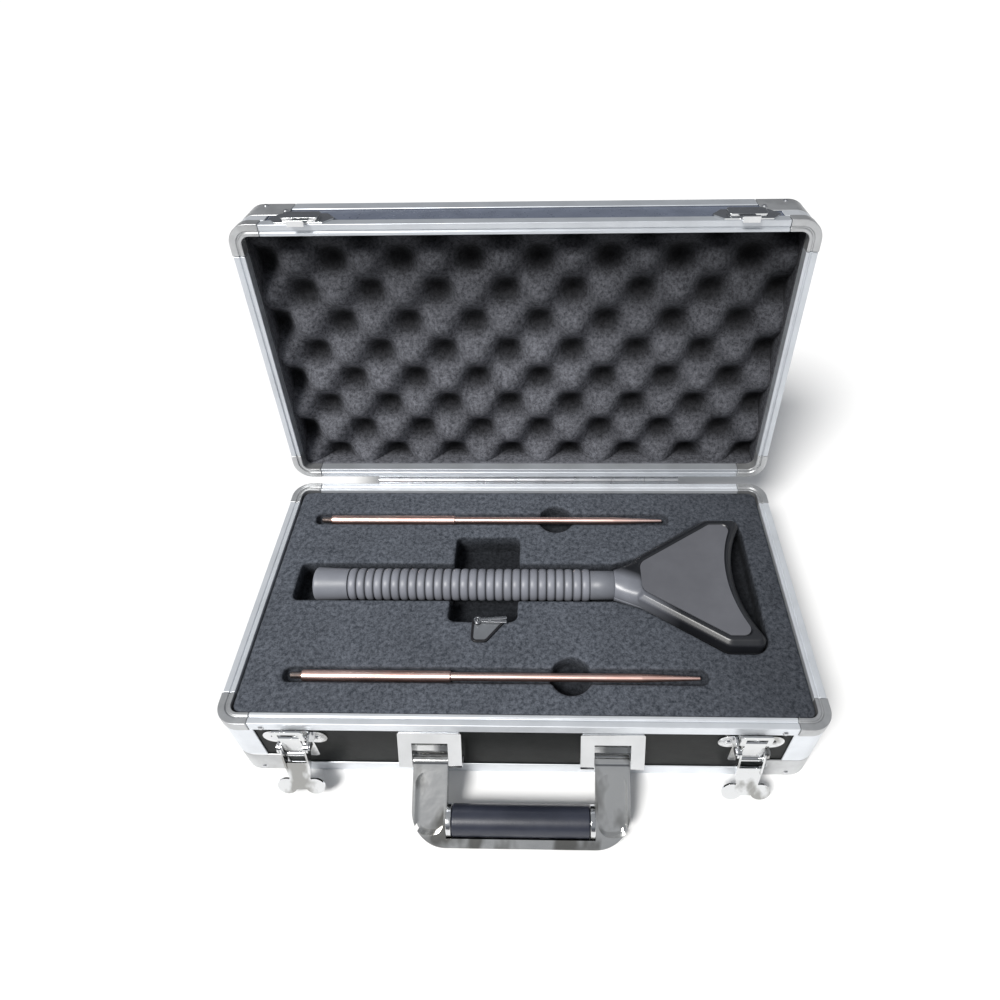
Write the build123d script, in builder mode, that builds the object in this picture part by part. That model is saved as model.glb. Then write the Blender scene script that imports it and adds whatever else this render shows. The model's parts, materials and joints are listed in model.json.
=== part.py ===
"""Groundwater detector kit: a hand-held detector, two antenna rods and keys in an aluminium-edged case.

Lengths are millimetres. X runs to the right, the front of the case faces -Y, and Z rises from the
underside of the case, whose middle is the origin. The lid stands open.
"""
import math
import os

from build123d import *

os.makedirs("parts", exist_ok=True)

# case shells
case_width = 420.0
case_depth = 230.0
base_height = 72.0
lid_height = 44.0
corner_radius = 15.0
panel_thickness = 4.0
sheet = 1.2
edging_width = 12.0
rim_width = 8.5
rim_height = 9.0
rim_web = 3.0
groove_width = 1.4
groove_depth = 1.0
groove_inset = 2.6
post_reach = 25.5
cap_reach = 39.0
cap_height = 24.0
rim_cap_reach = 23.0
rim_cap_proud = 0.5
seam = 0.3
rivet_radius = 2.2
rivet_height = 0.9
rim_rivet_inset = 32.0
cap_rivet_far = 36.0
cap_rivet_near = 18.0
cap_rivet_high = 16.0
cap_rivet_low = 5.0

# hinge
lid_open = 95.0
lid_gap = 0.4
hinge_offset = 4.0
hinge_length = 270.0
knuckle_count = 9
knuckle_gap = 0.3
barrel_radius = 3.0
hinge_pin_radius = 1.5
running_fit = 0.05
leaf_height = 7.0
leaf_rivet_count = 6

# foam
foam_clearance = 0.5
foam_below_rim = 2.0
insert_thickness = 30.0
seat_gap = 0.3
notch_width = 53.0
notch_x = -31.5
notch_back = 46.5
notch_front = 37.5
notch_depth = 22.0
notch_corner = 5.0
slot_margin = 5.6
slot_free_end = 15.0
head_margin = 3.0
rod_slot_width = 12.5
rod_slot_depth = 7.0
rod_slot_corner = 5.0
rod_slot_margin = 5.0
finger_radius = 15.0
finger_depth = 15.0
front_finger_x = 35.3
back_finger_x = 25.2
dome_pitch = 52.5
dome_row = 26.2
dome_height = 17.0
dome_foot = 18.0
dome_shift_x = 12.0
dome_shift_y = -1.4
lid_foam_peak = 11.0
lining_gap = 0.3

# carrying handle
bracket_x = 63.0
bracket_width = 44.0
bracket_plate = 2.0
bracket_back = 0.8
bracket_height = 36.5
bracket_from_rim = 0.5
bracket_band = 8.5
bracket_sill = 4.0
lug_width = 9.5
lug_radius = 5.2
handle_pivot_out = 7.5
handle_pivot_up = 10.0
handle_pin_radius = 2.5
arm_width = 24.0
bail_knuckle_radius = 5.0
bail_reach = 56.0
bail_bar = 6.0
bail_thickness = 9.0
bail_wall = 2.0
bail_corner = 24.0
floor_gap = 0.3
grip_radius = 10.5
grip_reach = 39.0
grip_end_gap = 0.2
ferrule_length = 3.6
ferrule_radius = 10.8
grip_bar_radius = 4.0

# latches
latch_from_end = 52.5
latch_plate_width = 23.0
latch_plate_height = 38.0
latch_from_rim = 1.0
ear_offset = 14.5
ear_radius = 8.0
ear_below_top = 9.0
latch_lug = 1.5
latch_lug_radius = 4.2
latch_pivot_out = 5.6
latch_pivot_below_top = 12.0
latch_pin_radius = 1.5
latch_rivet_head = 2.6
latch_rivet_head_height = 0.8
lever_stored = 21.0
lever_arm = 1.4
lever_arm_radius = 4.0
lever_plate = 1.4
lever_opening = 15.0
lever_length = 44.0
lever_waist = 7.5
lobe_radius = 7.0
lobe_offset = 10.0
latch_side_gap = 0.3
hook_drop = 8.5
hook_back = 3.0
hook_pin_radius = 1.3
hook_barrel_radius = 2.2
hook_thickness = 1.2
hook_stem = 14.0
hook_side_gap = 0.6
hook_head_width = 21.0
hook_head_from = 19.5
hook_length = 32.0
hook_slot_width = 14.0
hook_slot_height = 5.0
hook_bar_height = 4.0
keeper_width = 48.0
keeper_flat = 34.0
keeper_height = 18.0
keeper_from_rim = 1.0
keeper_block_width = 27.0
keeper_block_height = 13.0
keeper_block_out = 3.5
tooth_width = 12.0
tooth_gap = 0.3
lip_height = 2.5
lip_gap = 0.4
lip_reach = 4.8

# detector
detector_y = 7.5
detector_below_foam = 5.0
handle_left = -168.0
cap_length = 27.6
cap_end_radius = 13.4
cap_inner_radius = 12.3
cap_rounding = 2.0
cap_wall = 8.0
rib_count = 28
rib_length = 192.1
rib_radius = 12.75
rib_groove_depth = 1.3
rib_groove_width = 1.7
rib_shoulder = 0.9
collar_length = 18.7
collar_radius = 11.5
core_radius = 9.4
core_bore = 8.0
neck_radius = 12.0
neck_length = 21.6
core_into_neck = 15.0
fan_start = 17.6
fan_start_half = 19.5
shoulder_x = 150.0
head_half = 61.0
head_front_x = 178.0
head_tip_x = 182.5
concave_depth = 18.5
tip_rounding = 6.0
head_corner = 10.0
head_thickness = 26.0
head_wall = 2.5
head_bevel = 3.5
bottom_bevel = 2.0
panel_inset = 7.0
panel_front_inset = 5.5
panel_nose_inset = 3.0
panel_nose = 9.0
panel_gap = 0.5
panel_recess = 1.5
face_thickness = 1.3
cavity_start = 34.0
cavity_end = 148.0
socket_y = 36.0
socket_radius = 4.0
socket_length = 16.0
socket_recess = 1.8
board_length = 36.0
board_width = 44.0
board_thickness = 1.6
board_post_height = 6.0
board_post_radius = 3.0
cell_radius = 7.2
cell_length = 50.5
cell_tip_radius = 2.7
cell_tip = 1.2
screw_radius = 1.4
screw_head_radius = 2.8
screw_head_height = 1.8
screw_into_top = 7.0
screw_clear = 0.1
screw_front_x = 157.0
screw_front_y = 50.0
screw_neck_x = 98.0

# antenna rods
front_rod_x = -167.3
front_rod_y = -75.5
back_rod_x = -178.2
back_rod_y = 74.5
stub_radius = 2.5
stub_length = 8.5
stub_hidden = 6.0
thread_clearance = 0.1
rod_thick_radius = 4.0
rod_thick_length = 108.0
rod_middle_radius = 3.0
rod_middle_length = 136.0
rod_tip_length = 42.0
rod_tip_radius = 1.3
rod_step = 0.8

# case keys
fob_left = -39.0
fob_right = -13.0
fob_depth = 19.0
fob_from_notch = 0.4
fob_rim = 1.7
fob_height = 2.0
fob_window = 1.2
fob_rivet_radius = 1.2
key_bow_radius = 2.9
key_length = 25.0
key_blade = 2.4
key_thickness = 1.4
key_spread = 7.0
key_gap = 0.1

# derived places
on_base = (Align.CENTER, Align.CENTER, Align.MIN)
half_width = case_width / 2
half_depth = case_depth / 2
skin = sheet + panel_thickness
base_plane = Plane(origin=(0, 0, base_height), x_dir=(1, 0, 0), z_dir=(0, 0, -1))
hinge_y = half_depth + hinge_offset
hinge_z = base_height + lid_gap / 2
lid_sin = math.sin(math.radians(lid_open))
lid_cos = math.cos(math.radians(lid_open))
lid_plane = Plane(
    origin=(
        0,
        hinge_y - hinge_y * lid_cos + lid_gap / 2 * lid_sin,
        hinge_z + hinge_y * lid_sin + lid_gap / 2 * lid_cos,
    ),
    x_dir=(1, 0, 0),
    z_dir=(0, lid_sin, lid_cos),
)
front_face = Plane.XZ.offset(half_depth - sheet)
foam_top = base_height - foam_below_rim
detector_z = foam_top - detector_below_foam
bracket_top = base_height - rim_height - bracket_from_rim
bracket_bottom = bracket_top - bracket_height
handle_pivot_z = bracket_bottom + handle_pivot_up
latch_x = half_width - latch_from_end
latch_plate_top = base_height - rim_height - latch_from_rim
latch_plate_bottom = latch_plate_top - latch_plate_height
ear_z = latch_plate_top - ear_below_top
latch_pivot_z = latch_plate_top - latch_pivot_below_top
foam_width = case_width - 2 * (rim_width + foam_clearance)
foam_depth = case_depth - 2 * (rim_width + foam_clearance)
foam_corner = max(corner_radius - rim_width, 1.0)


def save(builder, name):
    """Labels a finished piece and writes it."""
    builder.part.label = name
    export_step(builder.part, f"parts/{name}.step")


def rounded_frame(plane, start, stop, outer, inner, mode=Mode.ADD):
    """Adds a rounded rectangular frame between two insets from the case outline."""
    with BuildSketch(plane.offset(start)) as outline:
        RectangleRounded(case_width - 2 * outer, case_depth - 2 * outer, max(corner_radius - outer, 0.5))
        RectangleRounded(
            case_width - 2 * inner,
            case_depth - 2 * inner,
            max(corner_radius - inner, 0.5),
            mode=Mode.SUBTRACT,
        )
    extrude(outline.sketch, amount=stop - start, mode=mode)


def corner_blocks(plane, reach, depth, mode):
    """Keeps or removes the four corners of a shell, up to a reach along each wall."""
    spare = 5.0
    with BuildSketch(plane) as zone:
        with GridLocations(case_width - reach + spare, case_depth - reach + spare, 2, 2):
            Rectangle(reach + spare, reach + spare)
    extrude(zone.sketch, amount=depth, mode=mode)


def across(plane, x):
    """The section plane of a shell at x, with the shell's own depth direction as its second axis."""
    return Plane(origin=plane.from_local_coords(Vector(x, 0, 0)), x_dir=plane.y_dir, z_dir=plane.x_dir)


def rim(plane, proud):
    """The rim extrusion: a grooved web on top, with two legs that hold the panel between them."""
    rounded_frame(plane, 0, rim_web, -proud, rim_width)
    rounded_frame(plane, rim_web, rim_height, -proud, sheet)
    rounded_frame(plane, rim_web, rim_height, skin, rim_width)
    groove_inner = rim_width - groove_inset
    rounded_frame(plane, 0, groove_depth, groove_inner - groove_width, groove_inner, Mode.SUBTRACT)


def wall_rivets(plane, depth, bare):
    """The planes of a shell's rivets, near each corner; the wall named bare has none on its rim."""
    rim_level = (rim_web + rim_height) / 2
    spots = [
        (rim_rivet_inset, rim_level),
        (cap_rivet_far, depth - cap_rivet_high),
        (cap_rivet_near, depth - cap_rivet_low),
    ]
    places = []
    for inset, level in spots:
        for a in (-1, 1):
            for b in (-1, 1):
                along = plane.from_local_coords(Vector(a * (half_width - inset), b * half_depth, level))
                if level != rim_level or b != bare:
                    places.append(Plane(origin=along, z_dir=plane.y_dir * b))
                beside = plane.from_local_coords(Vector(a * half_width, b * (half_depth - inset), level))
                places.append(Plane(origin=beside, z_dir=plane.x_dir * a))
    return places


def leaf_rivets(plane, back):
    """The planes of the rivets on a hinge leaf."""
    places = []
    for i in range(leaf_rivet_count):
        x = (i + 0.5) / leaf_rivet_count * hinge_length - hinge_length / 2
        spot = plane.from_local_coords(Vector(x, back * (half_depth + sheet), rim_height / 2))
        places.append(Plane(origin=spot, z_dir=plane.y_dir * back))
    return places


# the two shells are built alike, each from its rim plane inwards
for shell, plane, depth, front in (("base", base_plane, base_height, 1), ("lid", lid_plane, lid_height, -1)):
    inner_face = depth - skin
    with BuildPart() as skin_panel:
        with BuildSketch(plane.offset(inner_face)) as outline:
            RectangleRounded(case_width - 2 * sheet, case_depth - 2 * sheet, corner_radius - sheet)
        extrude(outline.sketch, amount=panel_thickness)
        with BuildSketch(plane.offset(depth - sheet)) as field:
            edge = edging_width + seam
            RectangleRounded(case_width - 2 * edge, case_depth - 2 * edge, max(corner_radius - edge, 2.0))
        extrude(field.sketch, amount=sheet)
    save(skin_panel, "base_floor_panel" if shell == "base" else "lid_top_panel")

    wall_y = half_depth - sheet - panel_thickness / 2
    for name, side in (("front", front), ("back", -front)):
        with BuildPart() as wall:
            with BuildSketch(plane.offset(rim_web)) as outline:
                with Locations((0, side * wall_y)):
                    Rectangle(case_width - 2 * corner_radius, panel_thickness)
            extrude(outline.sketch, amount=inner_face - rim_web)
        save(wall, f"{shell}_{name}_panel")

    wall_x = half_width - sheet - panel_thickness / 2
    with BuildPart() as side_walls:
        with BuildSketch(plane.offset(rim_web)) as outline:
            with Locations((-wall_x, 0), (wall_x, 0)):
                Rectangle(panel_thickness, case_depth - 2 * corner_radius)
        extrude(outline.sketch, amount=inner_face - rim_web)
    save(side_walls, f"{shell}_side_panels")

    with BuildPart() as core:
        rounded_frame(plane, rim_web, inner_face, sheet, skin)
        corner_blocks(plane, corner_radius, depth, Mode.INTERSECT)
    with BuildPart() as posts:
        rounded_frame(plane, rim_height, depth - cap_height - seam, 0, sheet)
        corner_blocks(plane, post_reach, depth, Mode.INTERSECT)
        add(core.part)
    save(posts, f"{shell}_corner_posts")

    with BuildPart() as edging:
        rounded_frame(plane, depth - edging_width, depth, 0, sheet)
        rounded_frame(plane, depth - sheet, depth, sheet, edging_width)
        corner_blocks(plane, cap_reach + seam, depth, Mode.SUBTRACT)
    save(edging, f"{shell}_edging")

    with BuildPart() as caps:
        rounded_frame(plane, depth - cap_height, depth, 0, sheet)
        rounded_frame(plane, depth - sheet, depth, sheet, edging_width)
        corner_blocks(plane, cap_reach, depth, Mode.INTERSECT)
    save(caps, f"{shell}_corner_caps")

    with BuildPart() as rails:
        rim(plane, 0.0)
        corner_blocks(plane, rim_cap_reach + seam, depth, Mode.SUBTRACT)
    save(rails, f"{shell}_rim_rails")

    with BuildPart() as rim_corners:
        rim(plane, rim_cap_proud)
        corner_blocks(plane, rim_cap_reach, depth, Mode.INTERSECT)
    save(rim_corners, f"{shell}_rim_corners")

    with BuildPart() as rivets:
        bare = front if shell == "lid" else 0
        with Locations(*wall_rivets(plane, depth, bare), *leaf_rivets(plane, -front)):
            Cone(rivet_radius, rivet_radius * 0.6, rivet_height, align=on_base)
    save(rivets, f"{shell}_rivets")

    # hinge leaf with every second knuckle
    back = -front
    knuckle = hinge_length / knuckle_count
    first = 0 if shell == "base" else 1
    axis_y = back * hinge_y
    axis_h = -lid_gap / 2
    with BuildPart() as leaf:
        with BuildSketch(across(plane, -hinge_length / 2)) as strip:
            with Locations((back * (half_depth + sheet / 2), rim_height / 2)):
                Rectangle(sheet, leaf_height)
        extrude(strip.sketch, amount=hinge_length)
        for i in range(first, knuckle_count, 2):
            left = -hinge_length / 2 + i * knuckle + knuckle_gap / 2
            with BuildSketch(across(plane, left)) as section:
                with Locations((axis_y, axis_h)):
                    Circle(barrel_radius)
                with Locations((back * (half_depth + hinge_offset / 2), axis_h + barrel_radius - sheet)):
                    Rectangle(hinge_offset, sheet)
            extrude(section.sketch, amount=knuckle - knuckle_gap)
        with BuildSketch(across(plane, -hinge_length / 2)) as bore:
            with Locations((axis_y, axis_h)):
                Circle(hinge_pin_radius + running_fit)
        extrude(bore.sketch, amount=hinge_length, mode=Mode.SUBTRACT)
    save(leaf, f"hinge_{shell}_leaf")

with BuildPart() as hinge_pin:
    with BuildSketch(Plane.YZ.offset(-hinge_length / 2)):
        with Locations((hinge_y, hinge_z)):
            Circle(hinge_pin_radius)
    extrude(amount=hinge_length)
save(hinge_pin, "hinge_pin")

# detector outline, seen from above and measured from the detector's axis
handle_right = handle_left + cap_length + rib_length + collar_length
neck_end = handle_right + neck_length
fan_x = handle_right + fan_start
detector_axis = Axis((0, detector_y, detector_z), (1, 0, 0))
detector_section = Plane(origin=(0, detector_y, detector_z), x_dir=(1, 0, 0), z_dir=(0, -1, 0))
head_plane = Plane(origin=(0, detector_y, detector_z - head_thickness / 2), x_dir=(1, 0, 0), z_dir=(0, 0, 1))


def head_plan(inset, level, concave=True, forward=0.0, drawn_out=0.0, nose=0.0):
    """The fan-shaped outline of the head, pulled in by an inset, at a level above the head's underside.

    Before that, the front edge is moved forward and the narrow end is drawn out along the slanted sides.
    """
    slope = (head_half - fan_start_half) / (shoulder_x - fan_x)
    left = fan_x - drawn_out
    left_half = fan_start_half - slope * drawn_out
    front = forward + (head_tip_x if concave else head_front_x)
    with BuildSketch(head_plane.offset(level)) as outline:
        with BuildLine():
            Polyline(
                (front, -head_half),
                (shoulder_x, -head_half),
                (left, -left_half),
                (left, left_half),
                (shoulder_x, head_half),
                (front, head_half),
            )
            if concave:
                ThreePointArc((front, head_half), (front - concave_depth, 0), (front, -head_half))
            else:
                Line((front, head_half), (front, -head_half))
        make_face()
        if inset:
            offset(amount=-inset, kind=Kind.INTERSECTION)
        fillet(outline.vertices().sort_by(Axis.X)[-2:], tip_rounding if concave else head_corner - inset)
        fillet(outline.vertices().sort_by(Axis.X)[2:4], head_corner - inset)
        if nose:
            fillet(outline.vertices().sort_by(Axis.X)[:2], nose)
    return outline.sketch


def panel_plan(gap):
    """The outline of the face panel's recess, pulled in by a gap, at the floor of the recess."""
    forward = panel_inset - panel_front_inset
    drawn_out = panel_inset - panel_nose_inset
    level = head_thickness - panel_recess
    return head_plan(panel_inset + gap, level, forward=forward, drawn_out=drawn_out, nose=panel_nose)


def head_cavity(inset, low, high):
    """The space for the electronics, between two levels."""
    with BuildPart() as cavity:
        extrude(head_plan(inset, low - head_bottom), amount=high - low)
        with BuildSketch(Plane.XY.offset(low)) as hollow:
            with Locations(((cavity_x + cavity_end) / 2, detector_y)):
                Rectangle(cavity_end - cavity_x, 4 * head_half)
        extrude(hollow.sketch, amount=high - low, mode=Mode.INTERSECT)
    return cavity.part


def head_bores():
    """The holes for the core tube, the rod sockets and the screws."""
    with BuildSketch(Plane.YZ.offset(handle_right)) as tube:
        with Locations((detector_y, detector_z)):
            Circle(core_radius + running_fit)
    extrude(tube.sketch, amount=core_into_neck, mode=Mode.SUBTRACT)
    with BuildSketch(Plane.YZ.offset(socket_start)) as seats:
        with Locations((detector_y - socket_y, detector_z), (detector_y + socket_y, detector_z)):
            Circle(socket_radius)
    extrude(seats.sketch, amount=2 * socket_length, mode=Mode.SUBTRACT)


concave_radius = (head_half**2 + concave_depth**2) / (2 * concave_depth)
socket_front = head_tip_x - concave_depth + concave_radius - math.sqrt(concave_radius**2 - socket_y**2)
socket_start = socket_front - socket_length
screw_spots = [
    (screw_front_x, detector_y - screw_front_y),
    (screw_front_x, detector_y + screw_front_y),
    (screw_neck_x, detector_y),
]
head_bottom = detector_z - head_thickness / 2
head_top = detector_z + head_thickness / 2
recess_floor = head_top - panel_recess
cavity_x = handle_right + cavity_start
board_x = (cavity_x + cavity_end) / 2
board_z = head_bottom + head_wall + board_post_height

# the whole head with its neck, before it is split and hollowed
with BuildPart() as head:
    extrude(head_plan(0, 0), amount=head_thickness)
    chamfer(head.faces().sort_by(Axis.Z)[-1].edges(), length=head_bevel)
    chamfer(head.faces().sort_by(Axis.Z)[0].edges(), length=bottom_bevel)
    with BuildSketch(Plane.YZ.offset(handle_right)) as round_end:
        with Locations((detector_y, detector_z)):
            Circle(neck_radius)
    slope = (head_half - fan_start_half) / (shoulder_x - fan_x)
    neck_half = fan_start_half + slope * (neck_end - fan_x)
    with BuildSketch(Plane.YZ.offset(neck_end)) as wide_end:
        with Locations((detector_y, detector_z)):
            RectangleRounded(2 * neck_half - 1.0, head_thickness - 1.0, head_thickness * 0.38)
    loft(sections=[round_end.sketch, wide_end.sketch])

with BuildPart() as lower_shell:
    add(head.part)
    split(bisect_by=Plane.XY.offset(detector_z), keep=Keep.BOTTOM)
    head_bores()
    add(head_cavity(head_wall + bottom_bevel, head_bottom + head_wall, detector_z), mode=Mode.SUBTRACT)
    with BuildSketch(Plane.XY.offset(head_bottom + head_wall)) as post_spots:
        with Locations((board_x, detector_y)):
            inset = 2 * board_post_radius
            with GridLocations(board_length - inset, board_width - inset, 2, 2):
                Circle(board_post_radius)
    extrude(post_spots.sketch, amount=board_post_height)
    with Locations(*[(x, y, head_bottom) for x, y in screw_spots]):
        Cylinder(
            screw_radius + screw_clear,
            head_thickness,
            align=on_base,
            mode=Mode.SUBTRACT,
        )
        Cylinder(
            screw_head_radius + screw_clear,
            screw_head_height,
            align=on_base,
            mode=Mode.SUBTRACT,
        )
save(lower_shell, "detector_lower_shell")

with BuildPart() as upper_shell:
    add(head.part)
    split(bisect_by=Plane.XY.offset(detector_z), keep=Keep.TOP)
    head_bores()
    add(head_cavity(head_wall + head_bevel, detector_z, recess_floor - head_wall), mode=Mode.SUBTRACT)
    extrude(panel_plan(0), amount=panel_recess, mode=Mode.SUBTRACT)
    with Locations(*[(x, y, detector_z) for x, y in screw_spots]):
        Cylinder(
            screw_radius + screw_clear,
            screw_into_top + screw_clear,
            align=on_base,
            mode=Mode.SUBTRACT,
        )
save(upper_shell, "detector_upper_shell")

with BuildPart() as face_panel:
    extrude(panel_plan(panel_gap), amount=face_thickness)
save(face_panel, "detector_face_panel")

with BuildPart() as rod_sockets:
    with BuildSketch(Plane.YZ.offset(socket_start)) as seats:
        with Locations((detector_y - socket_y, detector_z), (detector_y + socket_y, detector_z)):
            Circle(socket_radius)
    extrude(seats.sketch, amount=socket_length - socket_recess)
    with BuildSketch(Plane.YZ.offset(socket_front - socket_recess)) as threads:
        with Locations((detector_y - socket_y, detector_z), (detector_y + socket_y, detector_z)):
            Circle(stub_radius + thread_clearance)
    extrude(threads.sketch, amount=-(stub_length + 1.0), mode=Mode.SUBTRACT)
save(rod_sockets, "detector_rod_sockets")

with BuildPart() as circuit_board:
    with Locations((board_x, detector_y, board_z)):
        Box(board_length, board_width, board_thickness, align=on_base)
    with Locations((board_x - 8, detector_y + 8, board_z + board_thickness)):
        Box(12, 12, 2, align=on_base)
    with Locations((board_x + 8, detector_y - 8, board_z + board_thickness)):
        Cylinder(5, 5, align=on_base)
    with Locations((board_x - 10, detector_y - 12, board_z + board_thickness)):
        Box(8, 5, 3, align=on_base)
save(circuit_board, "detector_circuit_board")

with BuildPart() as shell_screws:
    with Locations(*[(x, y, head_bottom) for x, y in screw_spots]):
        Cylinder(screw_head_radius, screw_head_height, align=on_base)
        Cylinder(
            screw_radius, head_thickness / 2 + screw_into_top, align=on_base
        )
save(shell_screws, "detector_shell_screws")

core_left = handle_left + cap_wall
with BuildPart() as core_tube:
    with BuildSketch(Plane.YZ.offset(core_left)):
        with Locations((detector_y, detector_z)):
            Circle(core_radius)
            Circle(core_bore, mode=Mode.SUBTRACT)
    extrude(amount=handle_right + core_into_neck - core_left)
save(core_tube, "detector_core_tube")

rib_left = handle_left + cap_length
rib_pitch = rib_length / rib_count
with BuildPart() as grip_sleeve:
    with BuildSketch(detector_section):
        with BuildLine():
            bottom = rib_radius - rib_groove_depth
            points = [(rib_left, core_radius + running_fit)]
            for i in range(rib_count):
                x = rib_left + i * rib_pitch
                points.append((x + rib_groove_width / 2, bottom))
                points.append((x + rib_groove_width / 2 + rib_shoulder, rib_radius))
                points.append((x + rib_pitch - rib_groove_width / 2 - rib_shoulder, rib_radius))
                points.append((x + rib_pitch - rib_groove_width / 2, bottom))
            points[1] = (rib_left, bottom)
            points.append((rib_left + rib_length, collar_radius))
            points.append((handle_right, collar_radius))
            points.append((handle_right, core_radius + running_fit))
            Polyline(*points, close=True)
        make_face()
    revolve(axis=detector_axis)
save(grip_sleeve, "detector_grip_sleeve")

with BuildPart() as end_cap:
    with BuildSketch(detector_section):
        with BuildLine():
            Polyline(
                (handle_left, 0),
                (handle_left, cap_end_radius - cap_rounding),
                (handle_left + cap_rounding * 0.3, cap_end_radius - cap_rounding * 0.3),
                (handle_left + cap_rounding, cap_end_radius),
                (rib_left - seam, cap_inner_radius),
                (rib_left - seam, core_radius + running_fit),
                (core_left - seam, core_radius + running_fit),
                (core_left - seam, 0),
                close=True,
            )
        make_face()
    revolve(axis=detector_axis)
save(end_cap, "detector_end_cap")

cell_z = detector_z - (core_bore - cell_radius) + seat_gap
with BuildPart() as cells:
    for i in range(2):
        left = core_left + seam + i * (cell_length + cell_tip + seam)
        with BuildSketch(Plane.YZ.offset(left)) as round_cell:
            with Locations((detector_y, cell_z)):
                Circle(cell_radius)
        extrude(round_cell.sketch, amount=cell_length)
        with BuildSketch(Plane.YZ.offset(left + cell_length)) as tip:
            with Locations((detector_y, cell_z)):
                Circle(cell_tip_radius)
        extrude(tip.sketch, amount=cell_tip)
save(cells, "detector_battery_cells")

# antenna rods
rod_z = foam_top - rod_slot_depth + seat_gap + rod_thick_radius
rod_length = stub_length + rod_thick_length + rod_middle_length + rod_tip_length
for name, left, y in (("front", front_rod_x, front_rod_y), ("back", back_rod_x, back_rod_y)):
    thick_left = left + stub_length
    with BuildPart() as rod:
        with BuildSketch(Plane(origin=(0, y, rod_z), x_dir=(1, 0, 0), z_dir=(0, -1, 0))):
            with BuildLine():
                x1 = thick_left + rod_thick_length
                x2 = x1 + rod_middle_length
                x3 = x2 + rod_tip_length
                Polyline(
                    (thick_left, stub_radius + running_fit),
                    (thick_left, rod_thick_radius - rod_step / 2),
                    (thick_left + rod_step, rod_thick_radius),
                    (x1 - rod_step, rod_thick_radius),
                    (x1, rod_middle_radius),
                    (x2, rod_middle_radius),
                    (x3 - rod_step, rod_tip_radius),
                    (x3, rod_tip_radius * 0.4),
                    (x3, 0),
                    (thick_left + stub_hidden, 0),
                    (thick_left + stub_hidden, stub_radius + running_fit),
                    close=True,
                )
            make_face()
        revolve(axis=Axis((0, y, rod_z), (1, 0, 0)))
    save(rod, f"rod_{name}")
    with BuildPart() as stub:
        with BuildSketch(Plane.YZ.offset(left)):
            with Locations((y, rod_z)):
                Circle(stub_radius)
        extrude(amount=stub_length + stub_hidden)
    save(stub, f"rod_{name}_stub")

# foam insert with a blind cut-out for each thing that it holds
detector_depth = foam_top - (detector_z - max(cap_end_radius, rib_radius, head_thickness / 2) - seat_gap)
slot_width = 2 * (rib_radius + slot_margin)
insert_bottom = foam_top - insert_thickness
notch_mid = detector_y + (notch_back - notch_front) / 2
with BuildPart() as foam_insert:
    with BuildSketch(Plane.XY.offset(insert_bottom)) as block:
        RectangleRounded(foam_width, foam_depth, foam_corner)
    extrude(block.sketch, amount=insert_thickness)
    with BuildSketch(Plane.XY.offset(foam_top)) as detector_cut:
        slot_left = handle_left - slot_free_end
        slot_right = fan_x + head_margin + 2 * notch_corner
        with Locations(((slot_left + slot_right) / 2, detector_y)):
            RectangleRounded(slot_right - slot_left, slot_width, notch_corner)
    extrude(detector_cut.sketch, amount=-detector_depth, mode=Mode.SUBTRACT)
    with BuildSketch(Plane.XY.offset(foam_top)) as neck_cut:
        with BuildLine():
            Polyline(
                (handle_right, detector_y - slot_width / 2),
                (neck_end, detector_y - neck_half - head_margin),
                (neck_end, detector_y + neck_half + head_margin),
                (handle_right, detector_y + slot_width / 2),
                close=True,
            )
        make_face()
    extrude(neck_cut.sketch, amount=-detector_depth, mode=Mode.SUBTRACT)
    head_cut = Pos(0, 0, foam_top) * Pos(0, 0, -head_bottom) * head_plan(-head_margin, 0, concave=False)
    extrude(head_cut, amount=-detector_depth, mode=Mode.SUBTRACT)
    with BuildSketch(Plane.XY.offset(foam_top)) as notches:
        with Locations((notch_x, notch_mid)):
            RectangleRounded(notch_width, notch_back + notch_front, notch_corner)
    extrude(notches.sketch, amount=-notch_depth, mode=Mode.SUBTRACT)
    front_spot = (front_rod_x, front_rod_y, front_finger_x)
    back_spot = (back_rod_x, back_rod_y, back_finger_x)
    for left, y, finger in (front_spot, back_spot):
        with BuildSketch(Plane.XY.offset(foam_top)) as slot:
            with Locations((left + rod_length / 2, y)):
                RectangleRounded(rod_length + 2 * rod_slot_margin, rod_slot_width, rod_slot_corner)
        extrude(slot.sketch, amount=-rod_slot_depth, mode=Mode.SUBTRACT)
        with BuildSketch(Plane.XY.offset(foam_top)) as finger_hole:
            with Locations((finger, y)):
                Circle(finger_radius)
        extrude(finger_hole.sketch, amount=-finger_depth, mode=Mode.SUBTRACT)
save(foam_insert, "foam_insert")

with BuildPart() as foam_underlay:
    with BuildSketch(Plane.XY.offset(skin)) as block:
        RectangleRounded(foam_width, foam_depth, foam_corner)
    extrude(block.sketch, amount=insert_bottom - skin)
save(foam_underlay, "foam_underlay")

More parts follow.
